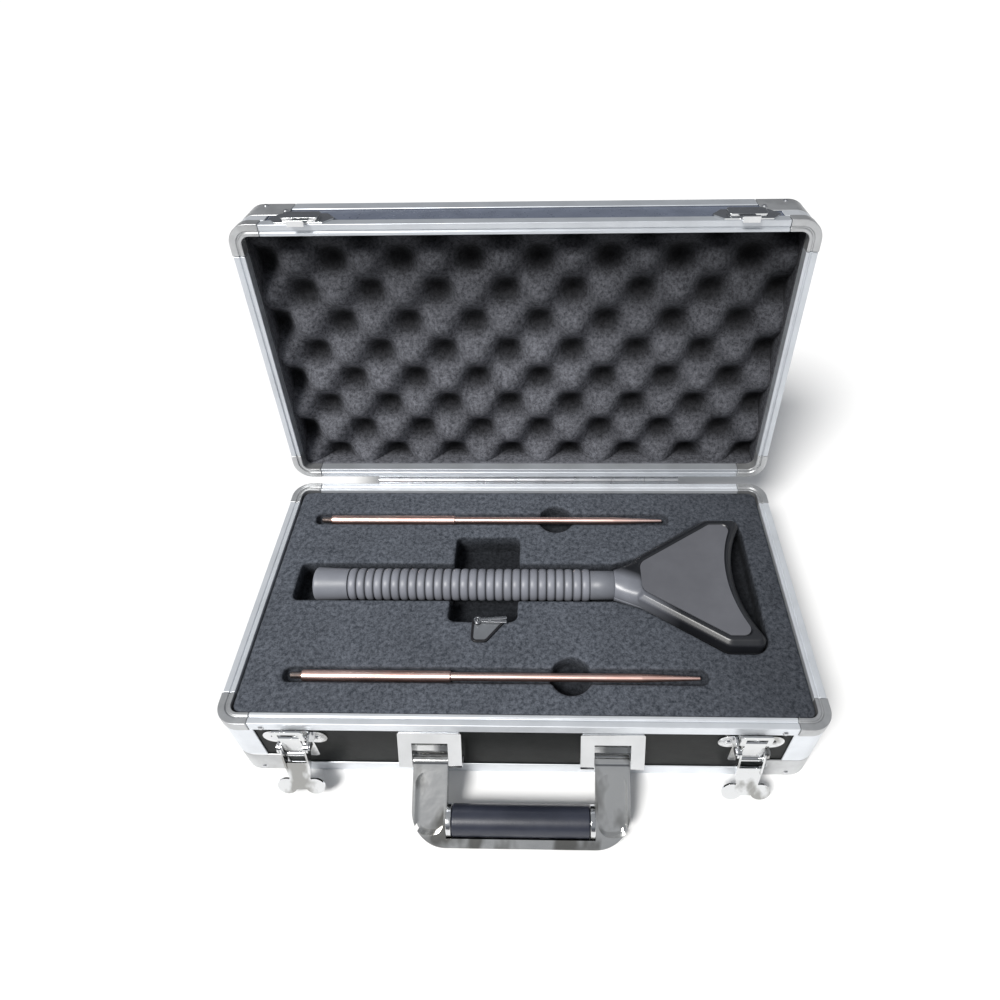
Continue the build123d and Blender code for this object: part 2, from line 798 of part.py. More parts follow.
# egg-crate foam in the lid: a slab with staggered domes, and flat strips of foam along the walls
with BuildPart() as lid_foam:
    pit = lid_foam_peak + dome_height
    with BuildSketch(lid_plane.offset(pit)) as slab:
        RectangleRounded(foam_width, foam_depth, foam_corner)
    extrude(slab.sketch, amount=lid_height - skin - pit)
    dome_radius = (dome_foot**2 + dome_height**2) / (2 * dome_height)
    cap_angle = math.degrees(math.asin((dome_radius - dome_height) / dome_radius))
    rows = int((foam_depth / 2 - dome_foot / 2) / dome_row)
    columns = int(foam_width / 2 / dome_pitch) + 1
    for j in range(-rows, rows + 1):
        for i in range(-columns, columns + 1):
            x = dome_shift_x + (i + (0.5 if j % 2 else 0.0)) * dome_pitch
            y = dome_shift_y + j * dome_row
            if abs(x) > foam_width / 2 - dome_foot / 3:
                continue
            middle = lid_plane.from_local_coords(Vector(x, y, lid_foam_peak + dome_radius))
            with Locations(Plane(origin=middle, x_dir=(1, 0, 0), z_dir=lid_plane.z_dir * -1)):
                Sphere(dome_radius, arc_size1=cap_angle - 2.0, align=None)
    with BuildSketch(lid_plane) as bounds:
        RectangleRounded(foam_width, foam_depth, foam_corner)
    extrude(bounds.sketch, amount=lid_height - skin, mode=Mode.INTERSECT)
    lining_start = rim_height + lining_gap
    lining_back = skin + lining_gap
    lining_face = rim_width + foam_clearance
    rounded_frame(lid_plane, lining_start, lid_height - skin, lining_back, lining_face)
save(lid_foam, "lid_foam")

# carrying handle
handle_y = -(half_depth + handle_pivot_out)
bail_span = math.hypot(bail_reach, bail_thickness / 2)
bail_drop = math.asin((handle_pivot_z - floor_gap) / bail_span) - math.atan2(bail_thickness / 2, bail_reach)
bail_plane = Plane(
    origin=(0, handle_y, handle_pivot_z),
    x_dir=(1, 0, 0),
    z_dir=(0, math.sin(bail_drop), -math.cos(bail_drop)),
)
window = bracket_width - 2 * lug_width
plate_front = -(half_depth - sheet) - bracket_plate
for name, x in (("left", -bracket_x), ("right", bracket_x)):
    with BuildPart() as bracket:
        with BuildSketch(front_face) as plate:
            with Locations((x, (bracket_bottom + bracket_top) / 2)):
                RectangleRounded(bracket_width, bracket_top - bracket_bottom, 2.0)
        extrude(plate.sketch, amount=bracket_plate)
        # the lugs and the band above the recess share one sloping face
        with BuildSketch(Plane.YZ.offset(x - bracket_width / 2)) as lug:
            with Locations((handle_y, handle_pivot_z)):
                Circle(lug_radius)
            with Locations((plate_front + 0.5, (bracket_bottom + bracket_top) / 2)):
                Rectangle(1.0, bracket_top - bracket_bottom - 4.0)
            make_hull()
        extrude(lug.sketch, amount=bracket_width)
        low = bracket_bottom + bracket_sill
        high = bracket_top - bracket_band
        with BuildSketch(front_face.offset(bracket_plate)) as hollow:
            with Locations((x, high - bracket_height)):
                Rectangle(window, 2 * bracket_height)
        extrude(hollow.sketch, amount=handle_pivot_out + lug_radius, mode=Mode.SUBTRACT)
        with BuildSketch(front_face.offset(bracket_back)) as recess:
            with Locations((x, (low + high) / 2)):
                Rectangle(window, high - low)
        extrude(recess.sketch, amount=bracket_plate - bracket_back, mode=Mode.SUBTRACT)
        with BuildSketch(Plane.YZ.offset(x - bracket_width / 2)) as bore:
            with Locations((handle_y, handle_pivot_z)):
                Circle(handle_pin_radius)
        extrude(bore.sketch, amount=bracket_width, mode=Mode.SUBTRACT)
    save(bracket, f"handle_bracket_{name}")

with BuildPart() as handle_pins:
    for x in (-bracket_x, bracket_x):
        with BuildSketch(Plane.YZ.offset(x - bracket_width / 2)) as pin:
            with Locations((handle_y, handle_pivot_z)):
                Circle(handle_pin_radius)
        extrude(pin.sketch, amount=bracket_width)
save(handle_pins, "handle_pins")

arm_inner = bracket_x - arm_width / 2
arm_outer = bracket_x + arm_width / 2
bar_inner = bail_reach - bail_bar
with BuildPart() as bail:
    with BuildSketch(bail_plane.offset(-bail_thickness / 2)) as frame:
        with Locations((0, bail_reach / 2)):
            Rectangle(2 * arm_outer, bail_reach)
        fillet(frame.vertices().sort_by(Axis.Y)[-2:], bail_corner)
        with Locations((0, bar_inner / 2)):
            Rectangle(2 * arm_inner, bar_inner, mode=Mode.SUBTRACT)
    extrude(frame.sketch, amount=bail_thickness)
    with BuildSketch(bail_plane.offset(-bail_thickness / 2)) as channel:
        deep = bail_reach - bail_bar - bail_wall
        start = bail_knuckle_radius + bail_wall
        for x in (-bracket_x, bracket_x):
            with Locations((x, (start + deep) / 2)):
                RectangleRounded(arm_width - 2 * bail_wall, deep - start, arm_width / 3)
    extrude(channel.sketch, amount=bail_thickness - bail_wall, mode=Mode.SUBTRACT)
    for x in (-bracket_x, bracket_x):
        with BuildSketch(Plane.YZ.offset(x - arm_width / 2)) as knuckle_end:
            with Locations((handle_y, handle_pivot_z)):
                Circle(bail_knuckle_radius)
        extrude(knuckle_end.sketch, amount=arm_width)
        with BuildSketch(Plane.YZ.offset(x - arm_width / 2)) as bore:
            with Locations((handle_y, handle_pivot_z)):
                Circle(handle_pin_radius + running_fit)
        extrude(bore.sketch, amount=arm_width, mode=Mode.SUBTRACT)
    bar_spot = bail_plane.from_local_coords(Vector(0, grip_reach, 0))
    with BuildSketch(Plane.YZ.offset(-arm_inner - bail_wall)) as bar_hole:
        with Locations((bar_spot.Y, bar_spot.Z)):
            Circle(grip_bar_radius)
    extrude(bar_hole.sketch, amount=2 * (arm_inner + bail_wall), mode=Mode.SUBTRACT)
save(bail, "handle_bail")

grip_half = arm_inner - ferrule_length - grip_end_gap
with BuildPart() as grip_bar:
    with BuildSketch(Plane.YZ.offset(-arm_inner - bail_wall)) as shaft:
        with Locations((bar_spot.Y, bar_spot.Z)):
            Circle(grip_bar_radius)
    extrude(shaft.sketch, amount=2 * (arm_inner + bail_wall))
    for left in (-arm_inner, arm_inner - ferrule_length):
        with BuildSketch(Plane.YZ.offset(left)) as ring:
            with Locations((bar_spot.Y, bar_spot.Z)):
                Circle(min(ferrule_radius, bar_inner - grip_reach - grip_end_gap))
        extrude(ring.sketch, amount=ferrule_length)
save(grip_bar, "handle_grip_bar")

with BuildPart() as grip:
    with BuildSketch(Plane.YZ.offset(-grip_half)) as tube:
        with Locations((bar_spot.Y, bar_spot.Z)):
            Circle(min(grip_radius, bar_inner - grip_reach - 2 * grip_end_gap))
            Circle(grip_bar_radius + running_fit, mode=Mode.SUBTRACT)
    extrude(tube.sketch, amount=2 * grip_half)
    fillet(grip.edges().filter_by(GeomType.CIRCLE).group_by(SortBy.RADIUS)[-1], 1.2)
save(grip, "handle_grip")

# latches: a lever on the base pulls its hook plate down on the keeper of the lid
pivot_y = -(half_depth + latch_pivot_out)
turn = math.radians(lever_stored)
hook_y = pivot_y + hook_back * math.cos(turn) - hook_drop * math.sin(turn)
hook_z = latch_pivot_z - hook_back * math.sin(turn) - hook_drop * math.cos(turn)
arm_inside = hook_stem / 2 + hook_side_gap
lug_inside = arm_inside + lever_arm + latch_side_gap
keeper_slot_top = latch_pivot_z - hook_drop + hook_length - hook_bar_height
lip_top = base_height + lid_gap - keeper_slot_top + lip_gap
for name, x in (("left", -latch_x), ("right", latch_x)):
    with BuildPart() as latch_base:
        with BuildSketch(front_face) as plate:
            with Locations((x, (latch_plate_bottom + latch_plate_top) / 2)):
                RectangleRounded(latch_plate_width, latch_plate_top - latch_plate_bottom, 3.0)
            with Locations((x - ear_offset, ear_z), (x + ear_offset, ear_z)):
                Circle(ear_radius)
        extrude(plate.sketch, amount=sheet)
        for left in (x - lug_inside - latch_lug, x + lug_inside):
            with BuildSketch(Plane.YZ.offset(left)) as lug:
                with Locations((pivot_y, latch_pivot_z)):
                    Circle(latch_lug_radius)
                with Locations((-half_depth + sheet / 2, latch_pivot_z)):
                    Rectangle(sheet, 3 * latch_lug_radius)
                make_hull()
            extrude(lug.sketch, amount=latch_lug)
            with BuildSketch(Plane.YZ.offset(left)) as bore:
                with Locations((pivot_y, latch_pivot_z)):
                    Circle(latch_pin_radius)
            extrude(bore.sketch, amount=latch_lug, mode=Mode.SUBTRACT)
        ear_spots = [(x - ear_offset - 1.0, -half_depth, ear_z), (x + ear_offset + 1.0, -half_depth, ear_z)]
        with Locations(*[Plane(origin=spot, z_dir=(0, -1, 0)) for spot in ear_spots]):
            Cone(rivet_radius, rivet_radius * 0.6, rivet_height, align=on_base)
    save(latch_base, f"latch_base_{name}")

    lever_plane = Plane(
        origin=(x, pivot_y, latch_pivot_z), x_dir=(1, 0, 0), z_dir=(0, -math.cos(turn), math.sin(turn))
    )
    with BuildPart() as lever:
        for left in (-arm_inside - lever_arm, arm_inside):
            side_plane = Plane(
                origin=lever_plane.from_local_coords(Vector(left, 0, 0)),
                x_dir=lever_plane.y_dir,
                z_dir=lever_plane.x_dir,
            )
            with BuildSketch(side_plane) as arm:
                Circle(lever_arm_radius)
                with Locations((-hook_drop, -hook_back)):
                    Circle(hook_barrel_radius)
                with Locations((-lever_opening - 4.0, -lever_plate / 2)):
                    Circle(lever_plate)
                make_hull()
            extrude(arm.sketch, amount=lever_arm)
        with BuildSketch(lever_plane.offset(-lever_plate)) as outline:
            outer = arm_inside + lever_arm
            waist_s = (lever_opening + lever_length) / 2
            lobe_s = lever_length - lobe_radius
            with BuildLine():
                Polyline(
                    (-outer, -lever_opening),
                    (outer, -lever_opening),
                    (outer, -lever_opening - 5.0),
                    (lever_waist, -waist_s),
                    (lobe_offset, -lobe_s + 2.0),
                    (lobe_offset, -lobe_s - 3.0),
                    (-lobe_offset, -lobe_s - 3.0),
                    (-lobe_offset, -lobe_s + 2.0),
                    (-lever_waist, -waist_s),
                    (-outer, -lever_opening - 5.0),
                    close=True,
                )
            make_face()
            with Locations((-lobe_offset, -lobe_s), (lobe_offset, -lobe_s)):
                Circle(lobe_radius)
        extrude(outline.sketch, amount=lever_plate)
        cut_plane = Plane(
            origin=lever_plane.from_local_coords(Vector(-arm_inside - lever_arm, 0, 0)),
            x_dir=lever_plane.y_dir,
            z_dir=lever_plane.x_dir,
        )
        with BuildSketch(cut_plane) as holes:
            Circle(latch_pin_radius + running_fit)
            with Locations((-hook_drop, -hook_back)):
                Circle(hook_pin_radius)
        extrude(holes.sketch, amount=2 * (arm_inside + lever_arm), mode=Mode.SUBTRACT)
    save(lever, f"latch_lever_{name}")

    with BuildPart() as hook_pin:
        with BuildSketch(Plane.YZ.offset(x - arm_inside - lever_arm)):
            with Locations((hook_y, hook_z)):
                Circle(hook_pin_radius)
        extrude(amount=2 * (arm_inside + lever_arm))
    save(hook_pin, f"latch_hook_pin_{name}")

    with BuildPart() as hook:
        with BuildSketch(Plane.XZ.offset(-hook_y - hook_thickness / 2)) as flat:
            with Locations((x, hook_z + hook_length / 2)):
                Rectangle(hook_stem, hook_length)
            with Locations((x, hook_z + (hook_head_from + hook_length) / 2)):
                RectangleRounded(hook_head_width, hook_length - hook_head_from, 2.0)
            with Locations((x, hook_z + hook_length - hook_bar_height - hook_slot_height / 2)):
                Rectangle(hook_slot_width, hook_slot_height, mode=Mode.SUBTRACT)
        extrude(flat.sketch, amount=hook_thickness)
        with BuildSketch(Plane.YZ.offset(x - hook_stem / 2)) as barrel:
            with Locations((hook_y, hook_z)):
                Circle(hook_barrel_radius)
        extrude(barrel.sketch, amount=hook_stem)
        with BuildSketch(Plane.YZ.offset(x - hook_stem / 2)) as bore:
            with Locations((hook_y, hook_z)):
                Circle(hook_pin_radius + running_fit)
        extrude(bore.sketch, amount=hook_stem, mode=Mode.SUBTRACT)
    save(hook, f"latch_hook_{name}")

    keeper_face = Plane(
        origin=lid_plane.from_local_coords(Vector(x, -half_depth, 0)),
        x_dir=(1, 0, 0),
        z_dir=lid_plane.y_dir * -1,
    )
    with BuildPart() as keeper:
        with BuildSketch(keeper_face) as plate:
            with BuildLine():
                low = keeper_from_rim
                high = keeper_from_rim + keeper_height
                middle = (low + high) / 2
                Polyline(
                    (-keeper_width / 2, middle),
                    (-keeper_flat / 2, low),
                    (keeper_flat / 2, low),
                    (keeper_width / 2, middle),
                    (keeper_flat / 2, high),
                    (-keeper_flat / 2, high),
                    close=True,
                )
            make_face()
        extrude(plate.sketch, amount=sheet)
        with BuildSketch(keeper_face) as block:
            with Locations((0, middle)):
                RectangleRounded(keeper_block_width, keeper_block_height, 2.0)
        extrude(block.sketch, amount=keeper_block_out)
        with BuildSketch(keeper_face.offset(tooth_gap)) as tooth:
            bottom = -lip_top - lip_height
            with Locations((0, (bottom + middle) / 2)):
                Rectangle(tooth_width, middle - bottom)
        extrude(tooth.sketch, amount=sheet)
        with BuildSketch(keeper_face.offset(tooth_gap)) as lip:
            with Locations((0, bottom + lip_height / 2)):
                Rectangle(tooth_width, lip_height)
        extrude(lip.sketch, amount=lip_reach - tooth_gap)
    save(keeper, f"latch_keeper_{name}")

with BuildPart() as pivot_rivets:
    for x in (-latch_x, latch_x):
        for s in (-1, 1):
            start = Plane(origin=(x + s * arm_inside, pivot_y, latch_pivot_z), z_dir=(s, 0, 0))
            shank = lever_arm + latch_side_gap + latch_lug
            with Locations(start):
                Cylinder(latch_pin_radius, shank, align=on_base)
            with Locations(start.offset(shank)):
                Cylinder(latch_rivet_head, latch_rivet_head_height, align=on_base)
save(pivot_rivets, "latch_pivot_rivets")

# case keys on their fob, which lies on the foam in front of the finger notch
notch_edge = notch_mid - (notch_back + notch_front) / 2
fob_back = notch_edge - fob_from_notch
fob_z = foam_top + seat_gap
fob_wide = fob_right - fob_left


def fob_outline(inset, level):
    """The fob's outline: straight on the left, rounded at the bottom and slanted on the right."""
    with BuildSketch(Plane.XY.offset(level)) as outline:
        with BuildLine():
            Polyline(
                (fob_left, fob_back),
                (fob_left, fob_back - fob_depth),
                (fob_left + 0.45 * fob_wide, fob_back - fob_depth),
                (fob_right, fob_back),
                close=True,
            )
        make_face()
        low = outline.vertices().sort_by(Axis.Y)[:2]
        fillet(low, 0.16 * fob_wide)
        if inset:
            offset(amount=-inset, kind=Kind.INTERSECTION)
    return outline.sketch


rivet_x = fob_left + 2 * fob_rim + 1.0
rivet_y = fob_back - fob_rim
with BuildPart() as fob_frame:
    extrude(fob_outline(0, fob_z), amount=fob_height)
    extrude(fob_outline(fob_rim, fob_z), amount=fob_height, mode=Mode.SUBTRACT)
    with Locations((rivet_x, rivet_y, fob_z)):
        Cylinder(key_bow_radius, fob_height, align=on_base)
        Cylinder(fob_rivet_radius, 4 * fob_height, align=on_base, mode=Mode.SUBTRACT)
save(fob_frame, "key_fob_frame")

with BuildPart() as fob_window_plate:
    extrude(fob_outline(fob_rim, fob_z), amount=fob_window)
    with Locations((rivet_x, rivet_y, fob_z)):
        Cylinder(key_bow_radius, 4 * fob_height, align=on_base, mode=Mode.SUBTRACT)
save(fob_window_plate, "key_fob_window")

with BuildPart() as keys:
    for i, lean in enumerate((-0.3 * key_spread, 0.7 * key_spread)):
        level = fob_z + fob_height + key_gap + i * (key_thickness + key_gap)
        key_plane = Plane.XY.offset(level).shift_origin((rivet_x, rivet_y, level)).rotated((0, 0, lean))
        with BuildSketch(key_plane) as outline:
            Circle(key_bow_radius)
            with Locations(((key_length - key_bow_radius) / 2, 0)):
                Rectangle(key_length - key_bow_radius, key_blade)
            Circle(fob_rivet_radius, mode=Mode.SUBTRACT)
        extrude(outline.sketch, amount=key_thickness)
    with Locations((rivet_x, rivet_y, fob_z)):
        Cylinder(
            fob_rivet_radius - screw_clear,
            fob_height + 2 * (key_thickness + key_gap),
            align=on_base,
        )
save(keys, "case_keys")
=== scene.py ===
"""Looks of the groundwater detector kit: foam, worn metal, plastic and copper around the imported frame.

Lengths are metres, in the frame of the part: X to the right, the front of the case towards -Y, Z up.
Angles are degrees, and colours are linear.
"""

import json
import math

import bmesh
import bpy
from mathutils import Matrix, Vector, noise


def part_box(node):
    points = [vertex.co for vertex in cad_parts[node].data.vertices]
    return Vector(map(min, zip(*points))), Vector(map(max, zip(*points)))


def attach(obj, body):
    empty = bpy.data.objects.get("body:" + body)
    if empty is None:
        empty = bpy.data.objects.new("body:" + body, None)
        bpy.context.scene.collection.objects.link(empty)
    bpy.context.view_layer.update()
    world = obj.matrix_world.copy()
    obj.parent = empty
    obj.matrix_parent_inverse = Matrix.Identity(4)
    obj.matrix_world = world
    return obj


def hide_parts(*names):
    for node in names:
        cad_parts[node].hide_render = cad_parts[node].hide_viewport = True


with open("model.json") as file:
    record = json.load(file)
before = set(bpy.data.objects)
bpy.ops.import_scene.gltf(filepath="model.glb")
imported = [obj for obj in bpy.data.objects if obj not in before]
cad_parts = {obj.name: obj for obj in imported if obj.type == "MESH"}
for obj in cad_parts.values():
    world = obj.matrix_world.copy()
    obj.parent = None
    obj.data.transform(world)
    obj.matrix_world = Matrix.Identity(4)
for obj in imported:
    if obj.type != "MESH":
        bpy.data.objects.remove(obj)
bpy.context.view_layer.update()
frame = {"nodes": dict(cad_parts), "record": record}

MM = 0.001
RIGHTWARD = (1.0, 0.0, 0.0)
UPWARD = (0.0, 0.0, 1.0)
DOWNWARD = (0.0, 0.0, -1.0)

# camera, fitted to the photograph: its place and turn, its frame in pixels, its sensor in millimetres
CAMERA_PLACE = (0.01917, -0.33638, 0.52685)
CAMERA_YAW = -2.27
CAMERA_PITCH = 44.53
CAMERA_ROLL = -1.55
IMAGE_SIZE = 1000.0
FOCAL_PIXELS = 710.74
CENTRE_PIXEL = (528.95, 475.25)
SENSOR_WIDTH = 36.0
CLIP_NEAR = 0.01
CLIP_FAR = 50.0

# studio: the key light, the dome's colours from the horizon to its top, and the floor
KEY_FROM = (-0.36, -0.52, 0.79)
KEY_STRENGTH = 3.7
KEY_SPREAD = 19.0
KEY_COLOUR = (1.0, 0.985, 0.96)
DOME_STRENGTH = 0.4
DOME = [
    (0.00, (0.30, 0.30, 0.31)),
    (0.16, (0.34, 0.35, 0.38)),
    (0.34, (0.30, 0.32, 0.36)),
    (0.50, (0.62, 0.66, 0.72)),
    (0.66, (1.05, 1.08, 1.12)),
    (0.80, (0.80, 0.84, 0.90)),
    (1.00, (0.95, 0.98, 1.02)),
]
FLOOR_REACH = 9.0
FLOOR_COLOUR = (0.9, 0.9, 0.9, 1.0)
FLOOR_ROUGH = 0.9

# case, and the lid as it is when shut
CASE_HALF_WIDTH = 0.210
CASE_HALF_DEPTH = 0.115
HINGE = Vector((0.0, 0.119, 0.0722))
LID_OPEN = 95.0
LID_RIM = 0.0724
LID_DEPTH = 0.0388
FOAM_HALF_WIDTH = 0.201
FOAM_HALF_DEPTH = 0.106

# egg-crate foam: depths of its peaks and pits below the lid's rim, their spacing, and its unevenness
EGG_PEAK = 0.0108
EGG_PIT = 0.0310
EGG_PITCH = 0.0525
EGG_ROW = 0.0262
EGG_PHASE = (0.012, -0.0014)
EGG_FULLNESS = 1.15
EGG_STEP = 0.0018
EGG_BROAD = 0.5 * MM
EGG_BROAD_WAVES = 22.0
EGG_BROAD_LAYER = 0.3
EGG_FINE = 0.16 * MM
EGG_FINE_WAVES = 260.0
EGG_FINE_LAYER = 0.1

# foam strips along the lid's walls: depth of their edge below the rim, and insets from the case's outline
LINING_FROM = 0.0094
LINING_BACK = 0.0055
LINING_FACE = 0.0089
LINING_EDGE = 0.5 * MM
LINING_STEPS = 90
LINING_UNEVEN = 0.2 * MM
LINING_WAVES = 60.0

# foam in the base: sizes of the cells that soften its edges, and the unevenness of its surface
INSERT_CELL = 1.3 * MM
INSERT_BROAD = 0.10 * MM
INSERT_BROAD_WAVES = 90.0
INSERT_FINE = 0.14 * MM
INSERT_FINE_WAVES = 420.0
UNDERLAY_CELL = 3.0 * MM

# ribbed grip sleeve of the detector
RIB_COUNT = 28
RIB_STEPS = 10
RIB_GROOVE = 0.0013
RIB_FULLNESS = 0.45
COLLAR_LENGTH = 0.0187
COLLAR_STEP = 0.00125
COLLAR_EDGE = 0.4 * MM
SLEEVE_BORE = 0.00945
SLEEVE_SEGMENTS = 80

# head of the detector: size of the cells that soften its edges, where grey ends and black begins, and
# where painted shade blackens the far side of the neck
SHELL_CELL = 0.7 * MM
NECK_GREY = 0.080
HEAD_BLACK = 0.118
FAR_SHADE_SLANT = (0.5, 0.866, 0.0)
FAR_SHADE_START = 0.045
FAR_SHADE_END = 0.054

# thread of the antenna rods, with the chamfer at its end
THREAD_PITCH = 0.0008
THREAD_DEPTH = 0.0004
THREAD_RINGS = 6
THREAD_SEGMENTS = 32
CHAMFER_DEPTH = 0.6 * MM
CHAMFER_SLOPE = 0.75

# rounding of hard edges: what counts as one point, as flat and as an edge
WELD_GAP = 0.000004
FLAT_ANGLE = 0.5
EDGE_ANGLE = 38.0
EDGE_SEGMENTS = 2

# nodes shown with rounded edges, and how far the edges are rounded
ROUNDED = {
    "base_rim_rails": 0.0005,
    "lid_rim_rails": 0.0005,
    "base_rim_corners": 0.0007,
    "lid_rim_corners": 0.0007,
    "base_corner_caps": 0.0007,
    "lid_corner_caps": 0.0007,
    "base_corner_posts": 0.0006,
    "lid_corner_posts": 0.0006,
    "base_edging": 0.0006,
    "lid_edging": 0.0006,
    "handle_bracket_left": 0.0006,
    "handle_bracket_right": 0.0006,
    "handle_bail": 0.0009,
    "handle_grip": 0.0006,
    "handle_grip_bar": 0.0005,
    "latch_base_left": 0.0003,
    "latch_base_right": 0.0003,
    "latch_lever_left": 0.0003,
    "latch_lever_right": 0.0003,
    "latch_hook_left": 0.0003,
    "latch_hook_right": 0.0003,
    "latch_keeper_left": 0.0003,
    "latch_keeper_right": 0.0003,
    "detector_face_panel": 0.0004,
    "detector_end_cap": 0.0004,
    "case_keys": 0.0003,
    "key_fob_frame": 0.0004,
    "key_fob_window": 0.0002,
}

# patterns that several looks share: sizes of pores, blotches, gloss and grain, and directions of drawing
FOAM_PORE = 0.0011
MOULD_CLOUD = 0.018
MOULD_GLOSS = 0.006
MOULD_GRAIN = 0.0006
MOULD_RELIEF = 0.00003
BRUSHED = (0.06, 1.0, 1.0)
DRAWN = (0.05, 1.0, 1.0)

# foam in the base: its colours, and its painted shade: how much of them is left down in its cut-outs and
# towards the right
INSERT_DARK = (0.036, 0.042, 0.053)
INSERT_LIGHT = (0.136, 0.149, 0.176)
INSERT_DOWN_SHADE = [(0.0, 1.0), (0.12, 0.75), (0.5, 0.3), (1.0, 0.2)]
INSERT_RIGHT_SHADE = [(0.6, 1.0), (1.0, 0.55)]
SHADE_SHALLOW = 0.0005
SHADE_DEEP = 0.022
SHADE_LEFT = -0.2
SHADE_RIGHT = 0.2

# foam in the lid: its colours, and its painted shade: how much of them is left in its pits, up the open
# lid and to the right, with the peaks a touch lighter
EGG_DARK = (0.043, 0.0445, 0.052)
EGG_LIGHT = (0.161, 0.166, 0.188)
EGG_PIT_SHADE = [(0.0, 1.1), (0.42, 0.95), (0.74, 0.32), (1.0, 0.1)]
EGG_UP_SHADE = [(0.5, 1.0), (0.8, 0.6), (1.0, 0.22)]
EGG_RIGHT_SHADE = [(0.55, 1.0), (1.0, 0.6)]
SHADE_LOW = 0.085
SHADE_HIGH = 0.300

# sockets of a mix node: its amount, its two colours and the colour that it gives
MIX_AMOUNT = 0
MIX_FIRST = 6
MIX_SECOND = 7
MIX_RESULT = 2

behaviour = frame["record"]["behaviour"]
body_of = {node: body for body, nodes in behaviour["bodies"].items() for node in nodes}
slot_of = {part["node"]: part["material_slot"] for part in frame["record"]["subparts"]}


# camera and light


def make_camera():
    """A camera at the photograph's place, with its field of view and its off-centre frame."""
    yaw = math.radians(CAMERA_YAW)
    pitch = math.radians(CAMERA_PITCH)
    roll = math.radians(CAMERA_ROLL)
    ahead = Vector((math.sin(yaw) * math.cos(pitch), math.cos(yaw) * math.cos(pitch), -math.sin(pitch)))
    level = Vector((math.cos(yaw), -math.sin(yaw), 0.0))
    above = level.cross(ahead)
    right = math.cos(roll) * level + math.sin(roll) * above
    up = math.cos(roll) * above - math.sin(roll) * level
    data = bpy.data.cameras.new("camera")
    data.sensor_width = SENSOR_WIDTH
    data.lens = FOCAL_PIXELS * SENSOR_WIDTH / IMAGE_SIZE
    data.shift_x = (IMAGE_SIZE / 2 - CENTRE_PIXEL[0]) / IMAGE_SIZE
    data.shift_y = (CENTRE_PIXEL[1] - IMAGE_SIZE / 2) / IMAGE_SIZE
    data.clip_start = CLIP_NEAR
    data.clip_end = CLIP_FAR
    camera = bpy.data.objects.new("camera", data)
    turn = Matrix((right, up, -ahead)).transposed().to_4x4()
    camera.matrix_world = Matrix.Translation(CAMERA_PLACE) @ turn
    bpy.context.collection.objects.link(camera)
    bpy.context.scene.camera = camera


def fill_ramp(node, stops):
    """Sets the stops of a colour ramp; each stop is a position and a grey or a colour."""
    elements = node.color_ramp.elements
    while len(elements) < len(stops):
        elements.new(0.5)
    for element, (position, colour) in zip(elements, stops):
        element.position = position
        if not isinstance(colour, tuple):
            colour = (colour, colour, colour)
        element.color = (*colour, 1.0)


def make_light():
    """Soft studio light: a broad key from the upper left, and a banded dome for metal to mirror."""
    scene = bpy.context.scene
    scene.view_settings.view_transform = "Standard"
    world = bpy.data.worlds.new("studio")
    scene.world = world
    world.use_nodes = True
    nodes = world.node_tree.nodes
    links = world.node_tree.links
    back = nodes["Background"]
    coords = nodes.new("ShaderNodeTexCoord")
    split = nodes.new("ShaderNodeSeparateXYZ")
    ramp = nodes.new("ShaderNodeValToRGB")
    fill_ramp(ramp, DOME)
    links.new(coords.outputs["Generated"], split.inputs[0])
    links.new(split.outputs["Z"], ramp.inputs["Fac"])
    links.new(ramp.outputs["Color"], back.inputs["Color"])
    back.inputs["Strength"].default_value = DOME_STRENGTH
    data = bpy.data.lights.new("key", "SUN")
    data.energy = KEY_STRENGTH
    data.angle = math.radians(KEY_SPREAD)
    data.color = KEY_COLOUR
    key = bpy.data.objects.new("key", data)
    key.rotation_mode = "QUATERNION"
    key.rotation_quaternion = (-Vector(KEY_FROM)).to_track_quat("-Z", "Y")
    bpy.context.collection.objects.link(key)


def make_floor():
    """A plain pale floor, wide enough to fill the view."""
    mesh = bpy.data.meshes.new("floor")
    reach = FLOOR_REACH
    corners = [(-reach, -reach, 0), (reach, -reach, 0), (reach, reach, 0), (-reach, reach, 0)]
    mesh.from_pydata(corners, [], [(0, 1, 2, 3)])
    floor = bpy.data.objects.new("floor", mesh)
    bpy.context.collection.objects.link(floor)
    look = bpy.data.materials.new("floor_white")
    look.use_nodes = True
    shader = look.node_tree.nodes["Principled BSDF"]
    shader.inputs["Base Color"].default_value = FLOOR_COLOUR
    shader.inputs["Roughness"].default_value = FLOOR_ROUGH
    mesh.materials.append(look)


# materials


